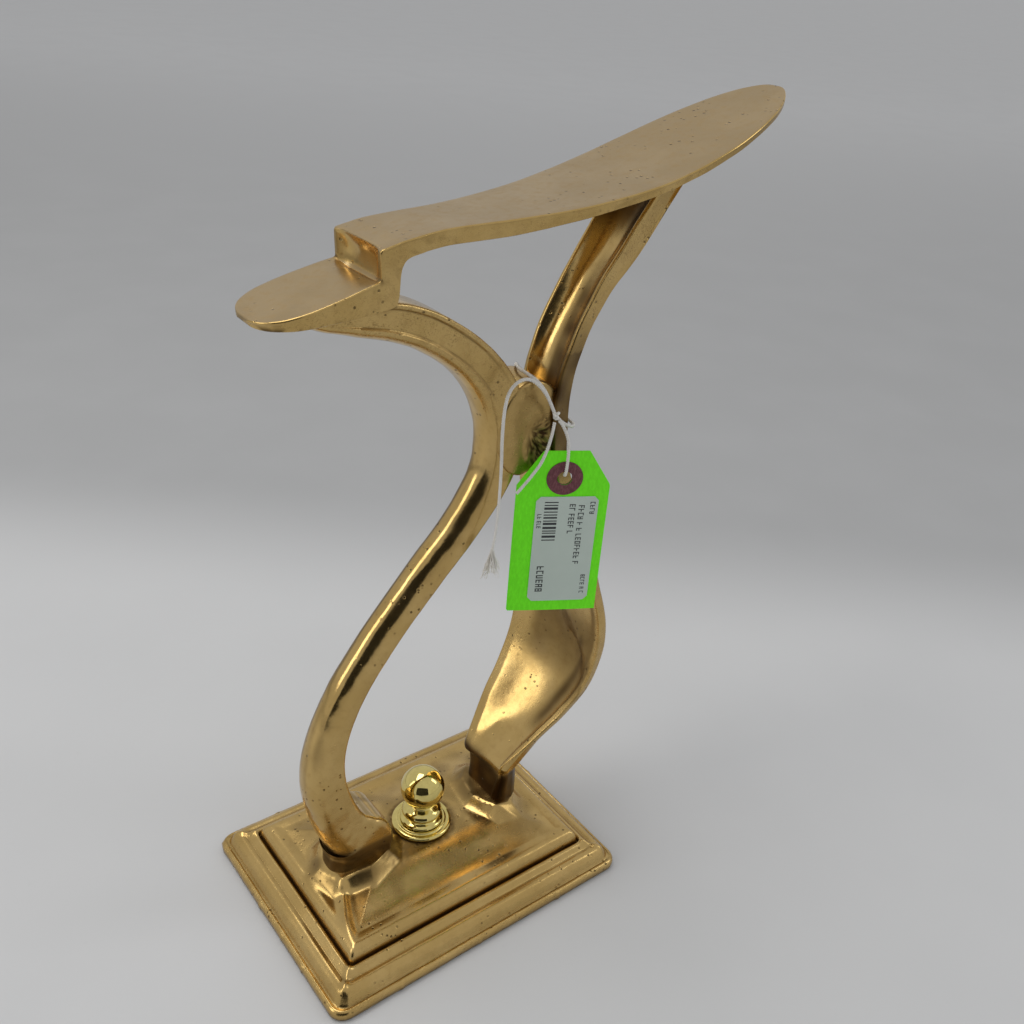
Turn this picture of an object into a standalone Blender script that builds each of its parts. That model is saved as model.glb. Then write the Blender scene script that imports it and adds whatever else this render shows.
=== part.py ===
"""Cast-brass shoe-shine foot rest with a price tag tied round one leg.

Frame: metres, +Z up. The origin is under the middle of the stand's bounding box, at the level the
base stands on. +X points to the toe of the sole plate, and the stand is symmetric about the XZ
plane apart from the tag and its string. The lists below measure x from the middle of the base,
which is also the knob's axis; place() moves everything to the origin.
"""
import math

import bmesh
import bpy
from mathutils import Matrix, Vector

MM = 0.001
GAP = 0.3          # clearance between pieces that touch, mm

# ---- driving dimensions, mm -------------------------------------------------------------------
BASE_LENGTH, BASE_WIDTH = 136.0, 102.0
LIP_HEIGHT = 3.4
GROOVE_OFFSET, GROOVE_HEIGHT = 12.9, 10.6
PLATEAU_OFFSET, PLATEAU_HEIGHT = 38.0, 20.0
BASE_WALL = 5.0
CAVITY_HEIGHT = 13.0
HEEL_FOOT = (-32.0, 0.0)
TOE_FOOT = (34.0, 0.0)
FOOT_BOTTOM = 17.4
FOOT_LEVEL_FROM, FOOT_LEVEL_AT = 38.0, 26.0
FLARE_FROM, FLARE_AT = 250.0, 279.0     # height over which the toe leg's sections tilt to the sole
SOLE_SLOPE = (-0.947, -0.32)            # the way the sole's underside runs above the toe leg
# centre, half length, half width, height and skirt of the boss at each foot
BOSSES = ((HEEL_FOOT, 13.4, 12.0, 4.6, 7.0), (TOE_FOOT, 9.0, 14.2, 3.4, 6.5))

KNOB_BALL_RADIUS = 9.0
KNOB_TOP = 48.0
FLANGE_RADIUS, FLANGE_THICKNESS = 12.3, 2.3
STUD_RADIUS = 3.0
SCREW_RADIUS, SCREW_CLEARANCE = 3.0, 3.3
WASHER_RADIUS, WASHER_THICKNESS = 7.0, 1.4

TAG_WIDTH, TAG_LENGTH, TAG_THICKNESS = 34.0, 66.5, 0.5
TAG_TOP_WIDTH, TAG_SHOULDER = 16.5, 13.5
TAG_TURN = math.radians(-28.0)          # which way the card faces, about +Z
TAG_HOLE = (42.5, -17.5, 178.9)         # centre of the card's hole
TAG_PIVOT = (37.3, -14.7, 203.0)        # in the knot, straight above the card's plane
HOLE_RADIUS, HOLE_BELOW_TOP = 2.9, 10.6
PATCH_RADIUS, PATCH_THICKNESS = 6.6, 0.3
LABEL_THICKNESS = 0.2
STRING_RADIUS = 0.65

# ---- the stand's side view: rows of x, z, then the section there, mm ----------------------------
# x, z of the centre line, width across Y, depth in the side view
HEEL_LEG_LINE = [
    (-52.0, 245.4, 9.0, 3.0), (-44.0, 244.8, 12.0, 7.0), (-33.0, 243.8, 14.5, 11.0),
    (-21.0, 241.6, 15.0, 13.2), (-8.0, 236.2, 15.0, 13.6), (5.5, 227.0, 15.0, 13.8),
    (15.5, 216.5, 15.2, 14.6), (22.0, 204.5, 15.5, 15.4), (23.8, 192.5, 15.2, 14.6),
    (20.5, 177.5, 14.2, 12.6), (9.5, 161.0, 13.4, 11.2), (-8.0, 141.8, 13.0, 10.8),
    (-25.5, 121.0, 13.0, 10.8), (-38.0, 102.0, 13.4, 11.2), (-45.0, 84.0, 14.4, 12.6),
    (-46.4, 68.0, 16.0, 14.4), (-43.0, 52.0, 16.8, 16.6), (-39.4, 43.0, 18.0, 18.4),
    (-35.8, 37.6, 19.6, 21.6), (-33.2, 34.0, 20.8, 25.2), (-32.3, 30.0, 20.4, 26.0),
    (HEEL_FOOT[0], 25.6, 18.8, 24.8), (HEEL_FOOT[0], FOOT_BOTTOM, 19.6, 24.8)]
# x, z of the scooped front face, width across Y, thickness behind it, depth of the scoop
TOE_LEG_LINE = [
    (80.7, 282.3, 23.0, 21.0, 2.0), (77.6, 277.0, 22.6, 16.0, 3.2), (71.4, 268.0, 21.8, 11.2, 3.4),
    (62.6, 255.0, 20.8, 7.4, 3.0), (54.0, 241.6, 20.0, 5.4, 2.4), (46.8, 227.0, 20.0, 5.2, 2.2),
    (42.4, 212.0, 20.2, 6.2, 1.8), (41.4, 196.0, 20.4, 6.8, 1.2), (43.6, 178.0, 22.0, 6.4, 1.0),
    (49.0, 158.0, 29.0, 6.0, 1.4), (56.0, 138.0, 40.0, 6.6, 1.2), (61.2, 118.0, 50.0, 8.0, 1.4),
    (62.2, 100.0, 52.4, 8.8, 2.4), (59.0, 83.0, 49.6, 8.6, 3.4), (51.4, 69.6, 43.6, 7.8, 3.6),
    (41.0, 57.6, 36.6, 7.6, 3.2),
    (31.4, 46.0, 30.0, 8.8, 1.4), (29.6, 41.4, 28.6, 10.2, 0.2), (30.6, 36.0, 25.6, 10.6, 0.0),
    (30.6, 30.0, 23.8, 12.0, 0.0), (30.0, 24.0, 23.4, 14.0, 0.0), (29.0, FOOT_BOTTOM, 24.0, 15.0, 0.0)]
# x, z of the top face on the centre line, half width, edge thickness
SOLE_LINE = [
    (-31.4, 267.0, 13.5, 4.7), (-22.0, 269.0, 13.1, 4.7), (-10.0, 270.3, 12.2, 4.7),
    (3.0, 271.0, 12.8, 4.6), (18.0, 272.0, 15.0, 4.2), (36.0, 273.8, 17.9, 3.2),
    (54.0, 276.8, 20.5, 2.6), (70.0, 280.4, 22.1, 2.2), (85.0, 284.9, 22.3, 2.0),
    (100.0, 290.0, 21.2, 1.9), (112.0, 294.4, 19.0, 1.8), (123.0, 298.6, 15.6, 1.7),
    (131.0, 301.7, 11.4, 1.6), (136.4, 303.8, 6.9, 1.5), (138.9, 304.7, 3.0, 1.4)]
HEEL_TIP, HEEL_STEP = -67.5, -30.8      # x where the heel rest starts and ends inside the riser
HEEL_TIP_TOP, HEEL_SLOPE = 249.1, 0.252
HEEL_HALF_WIDTH, HEEL_UNDERSIDE = 14.6, 247.4
RISER_FRONT, RISER_BACK = -31.4, -25.2

# the string's routes, mm
STRING_RING = [
    (39.0, 10.6, 206.4), (37.4, 8.6, 211.2), (34.8, 5.4, 215.0), (32.4, 0.8, 215.6),
    (31.6, -4.6, 215.8), (32.6, -9.0, 214.6), (34.4, -11.8, 211.4), (36.4, -13.0, 206.8),
    (38.6, -13.4, 202.6), (42.2, -13.6, 198.8), (47.0, -12.8, 196.0), (51.4, -9.0, 194.6),
    (52.8, -2.0, 194.6), (52.4, 5.0, 196.0), (50.0, 10.6, 198.6), (44.8, 12.8, 202.2)]
STRING_DROP = [
    (38.0, -16.4, 201.6), (38.9, -17.3, 200.2), (39.9, -18.4, 197.6), (40.8, -19.2, 194.2),
    (41.1, -19.5, 190.0), (41.3, -19.4, 185.8), (41.5, -19.0, 182.6), (41.9, -18.3, 180.8),
    (42.6, -17.3, 179.9), (43.2, -16.4, 179.6)]
STRING_TAIL = [
    (35.9, -15.6, 205.1), (32.7, -15.5, 210.8), (29.5, -15.2, 214.9), (26.3, -14.5, 217.7),
    (22.9, -14.0, 218.6), (19.7, -13.5, 217.2), (17.4, -13.2, 213.7), (16.5, -13.0, 207.0),
    (16.5, -13.0, 197.8), (17.1, -13.0, 186.4), (17.3, -13.0, 174.7), (17.0, -13.0, 162.7),
    (16.0, -13.0, 153.9)]
STRING_SHORT_TAIL = [
    (35.4, -17.0, 201.6), (35.2, -16.6, 197.2), (34.8, -15.5, 191.1), (33.4, -14.4, 185.4),
    (30.9, -13.0, 180.4), (28.5, -11.9, 176.6), (25.9, -11.8, 174.2)]
KNOT_CENTRE, KNOT_RADIUS = (36.9, -15.3, 203.6), 1.3

# x of the bounding box's middle: the base starts it and the sole's toe ends it
ORIGIN_X = (SOLE_LINE[-1][0] - BASE_LENGTH / 2) / 2


# ---- helpers --------------------------------------------------------------------------------------
def clear_scene():
    for old in list(bpy.data.objects):
        bpy.data.objects.remove(old, do_unlink=True)


def make_material(name, colour, roughness, metallic=0.0):
    material = bpy.data.materials.new(name)
    material.use_nodes = True
    shader = material.node_tree.nodes["Principled BSDF"]
    shader.inputs["Base Color"].default_value = (*colour, 1.0)
    shader.inputs["Roughness"].default_value = roughness
    shader.inputs["Metallic"].default_value = metallic
    return material


def add_object(name, bm, material, smooth_angle=40.0):
    """Put a bmesh drawn in millimetres into the scene as one object."""
    bmesh.ops.scale(bm, vec=(MM, MM, MM), verts=bm.verts)
    bmesh.ops.recalc_face_normals(bm, faces=bm.faces)
    mesh = bpy.data.meshes.new(name)
    bm.to_mesh(mesh)
    bm.free()
    mesh.shade_smooth()
    mesh.set_sharp_from_angle(angle=math.radians(smooth_angle))
    if material is not None:
        mesh.materials.append(material)
    return place(bpy.data.objects.new(name, mesh))


def place(obj):
    """Link an object drawn from the middle of the base, and move it to the stand's frame."""
    bpy.context.scene.collection.objects.link(obj)
    obj.location.x = -ORIGIN_X * MM
    return obj


def hang_on(pivot_name, point, objects):
    """Parent objects to an empty at a joint's axis, leaving them where they are."""
    pivot = place(bpy.data.objects.new(pivot_name, None))
    pivot.location = ((point[0] - ORIGIN_X) * MM, point[1] * MM, point[2] * MM)
    for obj in objects:
        obj.parent = pivot
        obj.matrix_parent_inverse = Matrix.Translation(-pivot.location)


def cut(target, cutter, operation="DIFFERENCE"):
    """Boolean with a helper object, which the finished part leaves out."""
    cutter.hide_render = True
    cutter.display_type = "WIRE"
    modifier = target.modifiers.new(cutter.name, "BOOLEAN")
    modifier.operation = operation
    modifier.object = cutter
    modifier.solver = "EXACT"


def smooth_rows(rows, per_span):
    """Catmull-Rom rows through the given rows, per_span of them to each gap."""
    out = []
    for i in range(len(rows) - 1):
        before, here = rows[max(i - 1, 0)], rows[i]
        there, after = rows[i + 1], rows[min(i + 2, len(rows) - 1)]
        for k in range(per_span):
            t = k / per_span
            weights = (-0.5 * t + t * t - 0.5 * t ** 3, 1 - 2.5 * t * t + 1.5 * t ** 3,
                       0.5 * t + 2 * t * t - 1.5 * t ** 3, -0.5 * t * t + 0.5 * t ** 3)
            out.append(tuple(sum(w * row[c] for w, row in zip(weights, (before, here, there, after)))
                             for c in range(len(here))))
    out.append(tuple(rows[-1]))
    return out


def loft(rings):
    """A closed bmesh through rings of equal point count, with a face over each end."""
    bm = bmesh.new()
    loops = [[bm.verts.new(point) for point in ring] for ring in rings]
    count = len(rings[0])
    for low, high in zip(loops, loops[1:]):
        for i in range(count):
            j = (i + 1) % count
            bm.faces.new((low[i], low[j], high[j], high[i]))
    bm.faces.new(list(reversed(loops[0])))
    bm.faces.new(loops[-1])
    return bm


def turned(profile, steps=32, centre=(0.0, 0.0)):
    """A closed bmesh turned about a vertical axis from (radius, z) points, top to bottom.

    A profile that starts and ends on the axis makes a solid; otherwise it closes on itself
    as a ring.
    """
    bm = bmesh.new()
    loops = []
    for radius, z in profile:
        if radius < 1e-6:
            loops.append([bm.verts.new((centre[0], centre[1], z))])
            continue
        angles = [math.tau * (k + 0.5) / steps for k in range(steps)]
        loops.append([bm.verts.new((centre[0] + radius * math.cos(a), centre[1] + radius * math.sin(a), z))
                      for a in angles])
    pairs = list(zip(loops, loops[1:]))
    if profile[0][0] > 1e-6:
        pairs.append((loops[-1], loops[0]))
    for upper, lower in pairs:
        for i in range(steps):
            j = (i + 1) % steps
            if len(upper) == 1:
                bm.faces.new((upper[0], lower[i], lower[j]))
            elif len(lower) == 1:
                bm.faces.new((upper[i], lower[0], upper[j]))
            else:
                bm.faces.new((upper[i], lower[i], lower[j], upper[j]))
    return bm


def arc(centre, radius, start, end, steps):
    """(radius, z) points of an arc, angles in degrees from +X towards +Z."""
    return [(centre[0] + radius * math.cos(math.radians(start + (end - start) * k / steps)),
             centre[1] + radius * math.sin(math.radians(start + (end - start) * k / steps)))
            for k in range(steps + 1)]


def cylinder_cutter(name, centre, radius, low, high):
    return add_object(name, turned([(0, high), (radius, high), (radius, low), (0, low)], 24, centre), None)


# ---- base ------------------------------------------------------------------------------------------
def foot_flare(x, y):
    """Height that the two cast bosses add round the legs' feet."""
    height = 0.0
    for (cx, cy), rx, ry, rise, skirt in BOSSES:
        reach = math.hypot((x - cx) / rx, (y - cy) / ry)
        fade = min(max((reach - 1.0) * (rx + ry) / 2 / skirt, 0.0), 1.0)
        height += rise * (1.0 - fade) ** 2.2
    return height


def base_ring(offset, z, corner, flare=False, long_steps=16, short_steps=12):
    """A rounded rectangle, offset inwards from the base's edge."""
    hx, hy = BASE_LENGTH / 2 - offset, BASE_WIDTH / 2 - offset
    corner = min(corner, hx * 0.6, hy * 0.6)
    points = []
    corners = ((hx - corner, hy - corner, 0), (corner - hx, hy - corner, 90),
               (corner - hx, corner - hy, 180), (hx - corner, corner - hy, 270))
    for index, (cx, cy, start) in enumerate(corners):
        for k in range(4):
            angle = math.radians(start + 30 * k)
            points.append((cx + corner * math.cos(angle), cy + corner * math.sin(angle)))
        steps = long_steps if index % 2 == 0 else short_steps
        last = points[-1]
        nx, ny, next_start = corners[(index + 1) % 4]
        angle = math.radians(next_start)
        first = (nx + corner * math.cos(angle), ny + corner * math.sin(angle))
        for k in range(1, steps):
            f = k / steps
            points.append((last[0] + (first[0] - last[0]) * f, last[1] + (first[1] - last[1]) * f))
    return [(x, y, z + (foot_flare(x, y) if flare else 0.0)) for x, y in points]


def base_profile():
    """offset, height, corner radius, and whether the bosses lift it, from the floor to the middle."""
    rows = [(0.0, 0.0, 6.0, False), (0.0, LIP_HEIGHT, 6.0, False), (0.6, 4.5, 5.6, False),
            (1.7, 4.7, 5.0, False), (2.8, 4.9, 4.4, False), (3.9, 6.0, 4.0, False),
            (4.7, 7.8, 3.6, False), (6.0, 9.0, 3.0, False), (7.8, 9.7, 2.6, False),
            (9.8, 10.5, 2.2, False), (11.6, 10.9, 2.0, False), (12.4, GROOVE_HEIGHT, 1.8, False),
            (GROOVE_OFFSET, GROOVE_HEIGHT, 1.6, False), (13.1, 12.9, 1.4, False),
            (13.9, 14.2, 1.2, False), (15.2, 14.9, 1.0, True), (17.0, 15.1, 0.8, True)]
    steps = 7
    for k in range(1, steps + 1):
        t = k / steps
        rise = t * t * (3 - 2 * t)
        rows.append((17.0 + (PLATEAU_OFFSET - 17.0) * t,
                     15.1 + (PLATEAU_HEIGHT - 15.1) * (0.35 * t + 0.65 * rise), 0.8, True))
    rows += [(offset, PLATEAU_HEIGHT, 0.4, True) for offset in (41.3, 44.4, 47.4, 50.0)]
    return rows


def make_base(material):
    rings = [base_ring(*row) for row in base_profile()]
    cavity = [(49.0, CAVITY_HEIGHT), (24.0, CAVITY_HEIGHT), (19.0, 11.4), (15.5, 7.4),
              (9.0, 5.6), (BASE_WALL + 0.6, 2.4), (BASE_WALL, 0.0)]
    inner = [base_ring(offset, z, 2.0) for offset, z in cavity]
    bm = bmesh.new()
    outer_loops = [[bm.verts.new(p) for p in ring] for ring in rings]
    inner_loops = [[bm.verts.new(p) for p in ring] for ring in inner]
    count = len(rings[0])

    def bridge(low, high):
        for i in range(count):
            j = (i + 1) % count
            bm.faces.new((low[i], low[j], high[j], high[i]))

    for low, high in zip(outer_loops, outer_loops[1:]):
        bridge(low, high)
    bm.faces.new(outer_loops[-1])
    bm.faces.new(list(reversed(inner_loops[0])))
    for high, low in zip(inner_loops, inner_loops[1:]):
        bridge(high, low)
    bridge(inner_loops[-1], outer_loops[0])
    bmesh.ops.triangulate(bm, faces=bm.faces)
    base = add_object("base_casting", bm, material)
    cut(base, add_object("base_heel_pocket", loft(heel_leg_rings(GAP)), None))
    cut(base, add_object("base_toe_pocket", loft(toe_leg_rings(GAP)), None))
    for tag, (x, y) in (("heel", HEEL_FOOT), ("knob", (0.0, 0.0)), ("toe", TOE_FOOT)):
        cut(base, cylinder_cutter(f"base_hole_{tag}", (x, y), SCREW_CLEARANCE, 5.0, 30.0))
    return base


# ---- legs --------------------------------------------------------------------------------------------
def side_frames(rows):
    """Unit tangent and normal of a side-view line; the normal is the tangent turned left."""
    frames = []
    for i in range(len(rows)):
        a, b = rows[max(i - 1, 0)], rows[min(i + 1, len(rows) - 1)]
        tangent = Vector((b[0] - a[0], b[1] - a[1])).normalized()
        frames.append((tangent, Vector((-tangent[1], tangent[0]))))
    return frames


def ease(start, end, z):
    """0 at start and 1 at end, with a smooth change between the two heights."""
    t = min(max((z - start) / (end - start), 0.0), 1.0)
    return t * t * (3 - 2 * t)


def foot_share(z):
    """0 up a leg and 1 in its foot, where the sections lie level."""
    return ease(FOOT_LEVEL_FROM, FOOT_LEVEL_AT, z)


def heel_leg_rings(grow=0.0, per_span=2, points=20):
    """Rounded-square sections with a rounder back, square to the leg's centre line."""
    rows = smooth_rows(HEEL_LEG_LINE, per_span)
    rings = []
    last = len(rows) - 1
    for index, ((x, z, width, depth), (_, normal)) in enumerate(zip(rows, side_frames(rows))):
        normal = normal.lerp(Vector((1.0, 0.0)), foot_share(z)).normalized()
        if index == last:
            z -= grow
        ring = []
        for k in range(points):
            angle = math.tau * (k + 0.5) / points
            c, s = math.cos(angle), math.sin(angle)
            power = 0.62 if c < 0 else 0.82
            across = math.copysign(abs(c) ** power, c) * (depth / 2 + grow)
            along_y = math.copysign(abs(s) ** 0.62, s) * (width / 2 + grow)
            ring.append((x + normal[0] * across, along_y, z + normal[1] * across))
        rings.append(ring)
    return rings


def toe_leg_rings(grow=0.0, per_span=2, half=6):
    """Scooped ribbon sections: a hollowed front between two rims, and a rounded back."""
    rows = smooth_rows(TOE_LEG_LINE, per_span)
    rings = []
    last = len(rows) - 1
    for index, ((x, z, width, thick, scoop), (_, normal)) in enumerate(zip(rows, side_frames(rows))):
        normal = normal * (-1.0 if normal[0] > 0 else 1.0)
        normal = normal.lerp(Vector((-1.0, 0.0)), foot_share(z))
        normal = normal.lerp(Vector(SOLE_SLOPE), ease(FLARE_FROM, FLARE_AT, z)).normalized()
        if index == last:
            z -= grow
        w = width / 2 + grow
        rim = min(2.6, w * 0.22)
        section = []
        for k in range(-half, half + 1):
            y = k / half
            dish = max(0.0, 1.0 - (abs(y) * w / (w - rim)) ** 2)
            section.append((y * (w - 0.35 * abs(y) ** 8), grow - max(scoop - grow, 0.0) * dish))
        for k in range(half - 1, -half, -1):
            y = k / half
            crown = 0.16 * thick * (1 - y * y)
            section.append((y * w * 0.97, -(thick * 0.9 + crown) - grow))
        rings.append([(x + normal[0] * s, y, z + normal[1] * s) for y, s in section])
    return rings


def foot_hole(name, foot):
    return cylinder_cutter(name, foot, SCREW_CLEARANCE, FOOT_BOTTOM - 5.0, FOOT_BOTTOM + 13.0)


def make_heel_leg(material):
    leg = add_object("heel_leg", loft(heel_leg_rings()), material, 50)
    cut(leg, make_heel_plate_solid("heel_plate_clearance", None, GAP))
    cut(leg, foot_hole("heel_leg_screw_hole", HEEL_FOOT))
    return leg


def make_toe_leg(material):
    leg = add_object("toe_leg", loft(toe_leg_rings()), material, 50)
    cut(leg, make_sole_solid("sole_clearance", None, GAP, headroom=30.0))
    cut(leg, foot_hole("toe_leg_screw_hole", TOE_FOOT))
    return leg


def make_crossing_web(material):
    """Braze-filled web between the two legs where they kiss."""
    outline = [(20.0, 181.0), (26.0, 179.4), (33.0, 180.2), (46.0, 182.6), (47.0, 196.0), (46.0, 206.0),
               (40.0, 210.2), (33.4, 213.4), (24.0, 212.0), (20.0, 200.0)]
    rings = [[(x, y, z) for x, z in outline] for y in (-6.4, 6.4)]
    web = add_object("crossing_web", loft(rings), material, 30)
    cut(web, add_object("web_heel_clearance", loft(heel_leg_rings(GAP)), None))
    cut(web, add_object("web_toe_clearance", loft(toe_leg_rings(GAP)), None))
    return web


# ---- heel rest and sole plate -----------------------------------------------------------------------
def heel_top(x):
    return HEEL_TIP_TOP + HEEL_SLOPE * (x - HEEL_TIP)


def make_heel_plate_solid(name, material, grow=0.0):
    """Heel rest: a flat sloping top with a rounded end, and the riser wall behind it."""
    stations = []
    round_length = 15.0
    for k in range(8):
        angle = math.pi / 2 * (k + 0.35) / 7.35
        x = HEEL_TIP + round_length * (1 - math.cos(angle))
        stations.append((x, HEEL_HALF_WIDTH * math.sin(angle) ** 0.9))
    stations += [(-44.0, HEEL_HALF_WIDTH), (-37.0, 14.2), (HEEL_STEP, 13.6)]
    rings = []
    for index, (x, half) in enumerate(stations):
        x -= grow if index == 0 else 0.0
        top = heel_top(x) + grow
        half += grow
        under = min(HEEL_UNDERSIDE + 0.03 * (x - HEEL_TIP), top - 2.4) - grow
        rings.append([(x, -half, top), (x, -half * 0.5, top), (x, half * 0.5, top), (x, half, top),
                      (x, half, top * 0.3 + under * 0.7), (x, half * 0.8, under),
                      (x, -half * 0.8, under), (x, -half, top * 0.3 + under * 0.7)])
    plate = add_object(name, loft(rings), material, 30)
    top = heel_top(HEEL_STEP) + grow
    foot = HEEL_UNDERSIDE + 2.0 - grow
    half = 13.5 + grow
    front, back = RISER_FRONT - grow, RISER_BACK + grow
    seat = [sole_underside(x) - GAP + grow for x in (front, back)]
    outline = [(front, seat[0]), (back, seat[1]), (back, top - 2.0), (back - 0.6, foot), (front, foot)]
    wall = add_object(f"{name}_riser", loft([[(x, y, z) for x, z in outline] for y in (-half, half)]),
                      None, 30)
    cut(plate, wall, "UNION")
    return plate


def sole_underside(x):
    """Height of the sole plate's underside over the riser, where it is flat across."""
    (x0, z0, _, edge), (x1, z1, _, _) = SOLE_LINE[:2]
    return z0 - edge + (z1 - z0) * (x - x0) / (x1 - x0)


def make_sole_solid(name, material, grow=0.0, headroom=0.0):
    """Shoe-sole plate: flat across the top, thinning from the waist to the toe.

    Grown, and with headroom over its top, it is the cutter that trims the toe leg under it.
    """
    rings = []
    rows = smooth_rows(SOLE_LINE, 2)
    for index, (x, z, half, edge) in enumerate(rows):
        if index in (0, len(rows) - 1):
            x += grow if index else -grow
        half += grow
        top, edge = z + grow + headroom, edge + 2 * grow + headroom
        belly = edge + 0.9 * min(max((x - RISER_BACK) / 20.0, 0.0), half / 12.0, 1.0)
        rings.append([(x, -half, top - 0.2), (x, -half * 0.94, top), (x, 0.0, top), (x, half * 0.94, top),
                      (x, half, top - 0.2), (x, half * 0.985, top - 0.2 - (edge - 0.2) * 0.75),
                      (x, half * 0.9, top - edge), (x, half * 0.45, top - belly),
                      (x, -half * 0.45, top - belly), (x, -half * 0.9, top - edge),
                      (x, -half * 0.985, top - 0.2 - (edge - 0.2) * 0.75)])
    return add_object(name, loft(rings), material, 35)


# ---- knob and fasteners ---------------------------------------------------------------------------
def make_knob(material):
    centre = KNOB_TOP - KNOB_BALL_RADIUS
    flange_top = PLATEAU_HEIGHT + GAP + FLANGE_THICKNESS
    profile = arc((0, centre), KNOB_BALL_RADIUS, 90, -58, 12)
    profile[0] = (0.0, KNOB_TOP)
    profile += [(4.5, 31.0), (4.9, 30.4), (6.4, 29.4), (7.8, 28.2), (8.1, 27.0), (7.8, 26.0),
                (7.0, 25.2), (7.2, 24.4), (7.9, flange_top + GAP + 0.6), (7.6, flange_top + GAP),
                (STUD_RADIUS, flange_top + GAP), (STUD_RADIUS, 4.4), (STUD_RADIUS - 0.7, 3.6), (0.0, 3.6)]
    return add_object("knob", turned(profile, 32), material, 35)


def make_flange(material):
    low = PLATEAU_HEIGHT + GAP
    high = low + FLANGE_THICKNESS
    profile = [(SCREW_CLEARANCE, high), (9.6, high), (11.4, high - 0.5), (FLANGE_RADIUS, high - 1.3),
               (FLANGE_RADIUS, low + 0.3), (FLANGE_RADIUS - 0.3, low), (SCREW_CLEARANCE, low)]
    return add_object("knob_flange", turned(profile, 32), material, 35)


def make_washer(name, centre, top, material):
    low = top - WASHER_THICKNESS
    profile = [(SCREW_CLEARANCE, top), (WASHER_RADIUS, top), (WASHER_RADIUS, low), (SCREW_CLEARANCE, low)]
    return add_object(name, turned(profile, 24, centre), material, 35)


def make_nut(name, top, material):
    """Plain hexagon nut, 10 mm across flats."""
    across, height = 10.0, 5.0
    rings = []
    for z in (top - height, top):
        rings.append([(across / math.sqrt(3) * math.cos(math.tau * k / 6),
                       across / math.sqrt(3) * math.sin(math.tau * k / 6), z) for k in range(6)])
    nut = add_object(name, loft(rings), material, 20)
    cut(nut, cylinder_cutter(f"{name}_bore", (0.0, 0.0), SCREW_CLEARANCE, top - 8, top + 3))
    return nut


def make_foot_screw(name, centre, seat, material):
    """Pan-head slotted screw up through the base into a leg's foot."""
    head_radius, head_height, tip = 5.4, 3.4, FOOT_BOTTOM + 11.0
    low = seat - head_height
    profile = [(0.0, tip), (SCREW_RADIUS - 0.8, tip), (SCREW_RADIUS, tip - 0.9), (SCREW_RADIUS, seat),
               (head_radius, seat), (head_radius, low + 1.0), (head_radius - 0.9, low), (0.0, low)]
    screw = add_object(name, turned(profile, 24, centre), material, 35)
    slot = bmesh.new()
    bmesh.ops.create_cube(slot, size=1.0)
    bmesh.ops.scale(slot, vec=(14.0, 1.7, 2.6), verts=slot.verts)
    bmesh.ops.translate(slot, vec=(centre[0], centre[1], low), verts=slot.verts)
    cut(screw, add_object(f"{name}_slot", slot, None))
    return screw


# ---- price tag and string -------------------------------------------------------------------------
def tag_matrix():
    """Card frame: x across the card, z up it, y away from its printed front; origin at the hole."""
    return Matrix.Translation(TAG_HOLE) @ Matrix.Rotation(TAG_TURN, 4, "Z")


def slab(outline, front, back):
    """Extrude an x, z outline of the card's frame from y = front to y = back."""
    bm = loft([[(x, y, z) for x, z in outline] for y in (front, back)])
    bmesh.ops.transform(bm, matrix=tag_matrix(), verts=bm.verts)
    return bm


def circle(radius, steps, centre=(0.0, 0.0)):
    return [(centre[0] + radius * math.cos(math.tau * k / steps),
             centre[1] + radius * math.sin(math.tau * k / steps)) for k in range(steps)]


def hole_cutter(name):
    return add_object(name, slab(circle(HOLE_RADIUS, 24), -3.0, 3.0), None)


def make_tag_card(material):
    top, bottom = HOLE_BELOW_TOP, HOLE_BELOW_TOP - TAG_LENGTH
    half, top_half = TAG_WIDTH / 2, TAG_TOP_WIDTH / 2
    outline = [(-half, bottom), (half, bottom), (half, top - TAG_SHOULDER), (top_half, top),
               (-top_half, top), (-half, top - TAG_SHOULDER)]
    card = add_object("tag_card", slab(outline, -TAG_THICKNESS / 2, TAG_THICKNESS / 2), material, 20)
    cut(card, hole_cutter("tag_card_hole"))
    return card


def make_patch(name, side, material):
    """Fibre reinforcement round the hole, one on each face of the card."""
    near = side * (TAG_THICKNESS / 2 + GAP)
    far = near + side * PATCH_THICKNESS
    patch = add_object(name, slab(circle(PATCH_RADIUS, 32), min(near, far), max(near, far)), material, 20)
    cut(patch, hole_cutter(f"{name}_hole"))
    return patch


def make_label(material):
    """Paper price label on the card's front, below the hole."""
    near = -(TAG_THICKNESS / 2 + GAP)
    left, right, top, bottom, corner = -9.5, 13.5, -7.4, -51.5, 1.6
    outline = []
    for cx, cz, start in ((right - corner, top - corner, 0), (left + corner, top - corner, 90),
                          (left + corner, bottom + corner, 180), (right - corner, bottom + corner, 270)):
        outline += [(cx + corner * math.cos(math.radians(start + 30 * k)),
                     cz + corner * math.sin(math.radians(start + 30 * k))) for k in range(4)]
    return add_object("tag_label", slab(outline, near - LABEL_THICKNESS, near), material, 20)


def make_string(name, route, material, closed=False, per_span=3):
    """Cotton string: a round tube along a smooth route, which may close on itself."""
    if closed:
        wrapped = [route[-1]] + route + route[:2]
        points = smooth_rows(wrapped, per_span)[per_span:per_span * (len(route) + 1)]
    else:
        points = smooth_rows(route, per_span)
    curve = bpy.data.curves.new(name, "CURVE")
    curve.dimensions = "3D"
    curve.bevel_depth = STRING_RADIUS * MM
    curve.bevel_resolution = 2
    curve.use_fill_caps = not closed
    spline = curve.splines.new("POLY")
    spline.points.add(len(points) - 1)
    for target, point in zip(spline.points, points):
        target.co = (point[0] * MM, point[1] * MM, point[2] * MM, 1.0)
    spline.use_cyclic_u = closed
    curve.materials.append(material)
    return place(bpy.data.objects.new(name, curve))


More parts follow.
